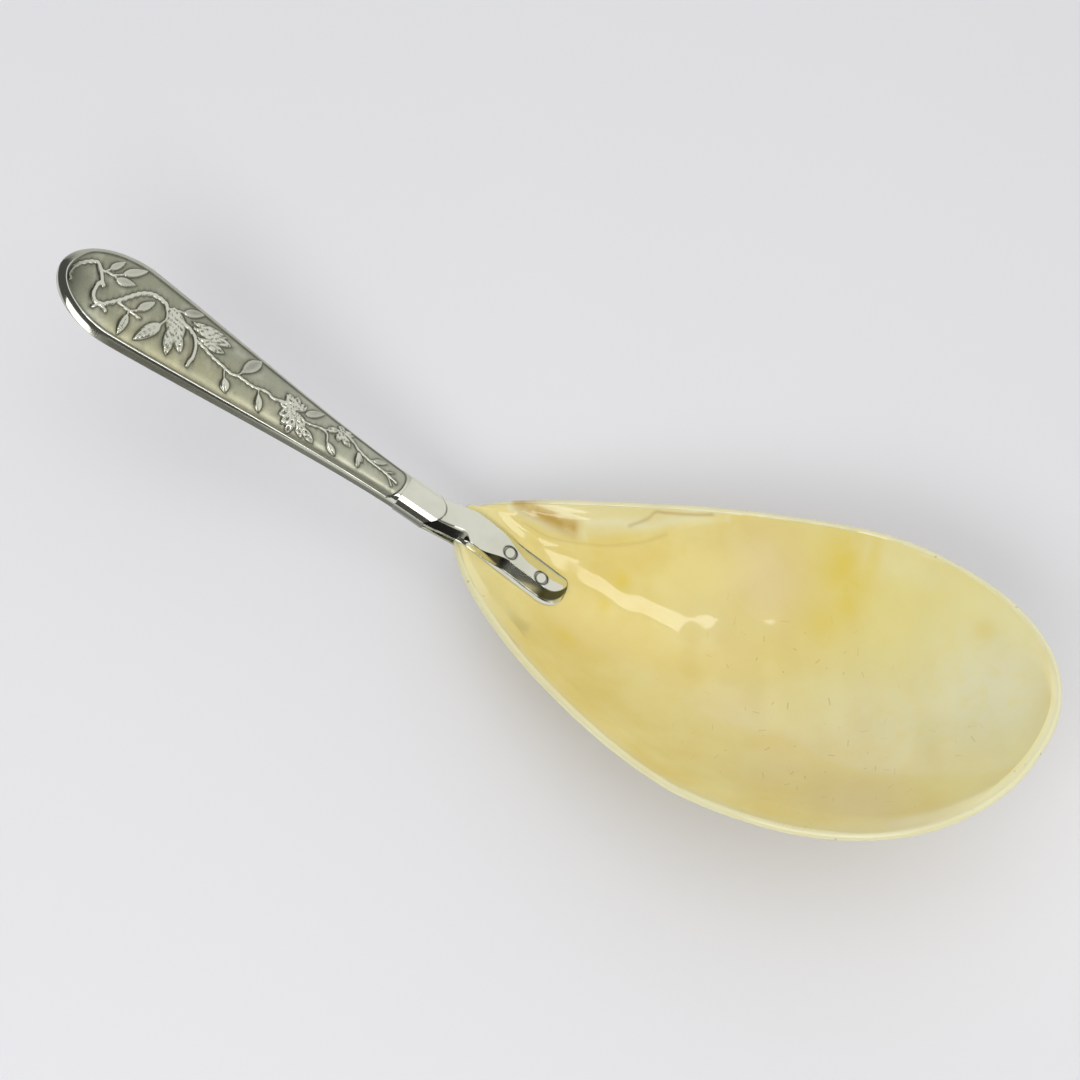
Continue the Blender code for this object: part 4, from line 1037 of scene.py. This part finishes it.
# studio: pale paper under an even pale surround; dark gauze and a panel lamp in front, a small lamp at the left,
# and two lamps that only lift the level; metres and degrees
studio = {
    "paper": "#E6E6E8", "noises": {"uneven": (250.0, 2.0)}, "paperRange": (0.3, 0.7, 0.0, 0.5),
    "paperRough": 0.9, "paperSheen": 0.1, "backdrop": "#E4E4E6", "backdropLevel": 1.05,
    "floorSize": 10.0, "floorGap": 0.00002,
    "curtain": {"front": (-0.45, -0.89, 0.0), "reach": 12.0, "turn": 104.0, "rise": (0.0, 66.0),
                "steps": (73, 25), "ends": (-0.2, 0.1), "top": (0.78, 0.9, 1.0, 0.0), "tone": 0.1},
    # lamps: azimuth, elevation, roll, distance, size, power, whether polished things show it
    "lamps": {
        "stripLamp": (10.2, 48.1, -14.0, 1.2, (0.88, 0.42), 3.8, True),
        "leftLamp": (-33.0, 12.0, 0.0, 1.2, (0.6, 0.36), 1.3, True),
        "fillLamp": (0.0, 75.0, 0.0, 1.6, (2.6, 2.6), 9.2, False),
        "lowFillLamp": (25.0, 40.0, 0.0, 1.6, (2.2, 1.6), 3.4, False),
    },
    # the target counts millimetres from the neck point
    "camera": {"azimuth": 30.4, "elevation": 65.0, "distance": 0.567, "target": (20.6, 6.1, 2.0),
               "lens": 85.0, "sensor": 36.0, "clip": (0.01, 20.0)},
}


def makeFloor():
    # matt paper, a flat sheet with a faint unevenness in its tone
    made, tree, read = newMaterial("mattPaper", studio)
    tone = addNode(tree, "MapRange", [read["uneven"], *studio["paperRange"]], **eased)
    shader = addNode(tree, "BsdfPrincipled", {
        "Base Color": layTones(tree, studio, "paper", ((tone, "backdrop"),)),
        "Roughness": studio["paperRough"],
        "Specular IOR Level": studio["paperSheen"],
    })
    addNode(tree, "OutputMaterial", {"Surface": shader})
    reach = studio["floorSize"] / 2
    corners = [(-reach, -reach, 0), (reach, -reach, 0), (reach, reach, 0), (-reach, reach, 0)]
    mesh = bpy.data.meshes.new("paperFloor")
    mesh.from_pydata(corners, [], [(0, 1, 2, 3)])
    mesh.materials.append(made)
    floor = newObject("paperFloor", mesh)
    floor.location.z = -studio["floorGap"]


def makeBackdrop():
    # the plain pale tone that surrounds the set, the same in every direction
    world = bpy.data.worlds.new("paleBackdrop")
    bpy.context.scene.world = world
    world.use_nodes = True
    tree = world.node_tree
    tree.nodes.clear()
    even = {"Color": hexColour(studio["backdrop"]), "Strength": studio["backdropLevel"]}
    addNode(tree, "OutputWorld", {"Surface": addNode(tree, "Background", even)})


def makeCurtain():
    # dark gauze hung in front, so that polished metal has something dark to show: part of a sphere, its radius
    # times the direction at each turn and rise; the gauze thins out towards its top and its two ends
    look = studio["curtain"]
    heading = math.atan2(look["front"][1], look["front"][0])
    turn = heading + np.radians(np.linspace(-look["turn"], look["turn"], look["steps"][0]))[None]
    rise = np.radians(np.linspace(*look["rise"], look["steps"][1]))[:, None]
    grid = np.stack([np.cos(rise) * np.cos(turn), np.cos(rise) * np.sin(turn), np.sin(rise) + 0 * turn], -1)
    order = np.arange(grid[..., 0].size).reshape(grid.shape[:2])
    quads = np.stack([order[:-1, :-1], order[1:, :-1], order[1:, 1:], order[:-1, 1:]], -1)
    mesh = bpy.data.meshes.new("frontCurtain")
    mesh.from_pydata((look["reach"] * grid).reshape(-1, 3).tolist(), [], quads.reshape(-1, 4).tolist())
    made, tree, read = newMaterial("darkGauze", look)
    direction = addNode(tree, "VectorMath", [read["coords"]], operation="NORMALIZE")
    toFront = addNode(tree, "VectorMath", [direction, look["front"]], operation="DOT_PRODUCT")
    height = addNode(tree, "SeparateXYZ", [direction]).outputs["Z"]
    ends = addNode(tree, "MapRange", [toFront.outputs["Value"], *look["ends"]], **eased)
    top = addNode(tree, "MapRange", [height, *look["top"]], **eased)
    dense = addNode(tree, "Math", [ends, top], **times)
    dark = addNode(tree, "Emission", {"Color": hexColour(studio["backdrop"]), "Strength": look["tone"]})
    shader = addNode(tree, "MixShader", [dense, addNode(tree, "BsdfTransparent"), dark])
    addNode(tree, "OutputMaterial", {"Surface": shader})
    mesh.materials.append(made)
    curtain = newObject("frontCurtain", mesh)
    curtain.visible_camera = False  # it stands between the set and whoever looks from the front


def lookFrom(azimuth, elevation):
    # the direction out from the ladle, azimuth turning from straight in front towards the right, and the turn
    # that faces back along it
    turn, up = math.radians(azimuth), math.radians(elevation)
    away = np.array([math.sin(turn) * math.cos(up), -math.cos(turn) * math.cos(up), math.sin(up)])
    return away, Euler((math.pi / 2 - up, 0.0, turn))


def makeLamp(name, azimuth, elevation, roll, distance, size, power, shown):
    # a soft panel that faces the ladle, rolled about the line between them
    lamp = bpy.data.lights.new(name, "AREA")
    lamp.shape = "RECTANGLE"
    lamp.size, lamp.size_y = size
    lamp.energy = power
    away, facing = lookFrom(azimuth, elevation)
    made = newObject(name, lamp)
    made.location = away * distance
    made.rotation_euler = (facing.to_matrix() @ Matrix.Rotation(math.radians(roll), 3, "Z")).to_euler()
    made.visible_glossy = shown


def makeCamera():
    # looks steeply down from the front right, as the photograph does
    look = studio["camera"]
    away, facing = lookFrom(look["azimuth"], look["elevation"])
    lens = bpy.data.cameras.new("camera")
    lens.lens, lens.sensor_width = look["lens"], look["sensor"]
    lens.clip_start, lens.clip_end = look["clip"]
    camera = newObject("camera", lens)
    camera.location = (neckPoint + look["target"]) * mm + away * look["distance"]
    camera.rotation_euler = facing
    bpy.context.scene.camera = camera


makeFloor()
makeBackdrop()
makeCurtain()
for lampName, lampSettings in studio["lamps"].items():
    makeLamp(lampName, *lampSettings)
makeCamera()
bpy.context.scene.view_settings.view_transform = "Standard"
print("studio made")

bpy.context.view_layer.update()
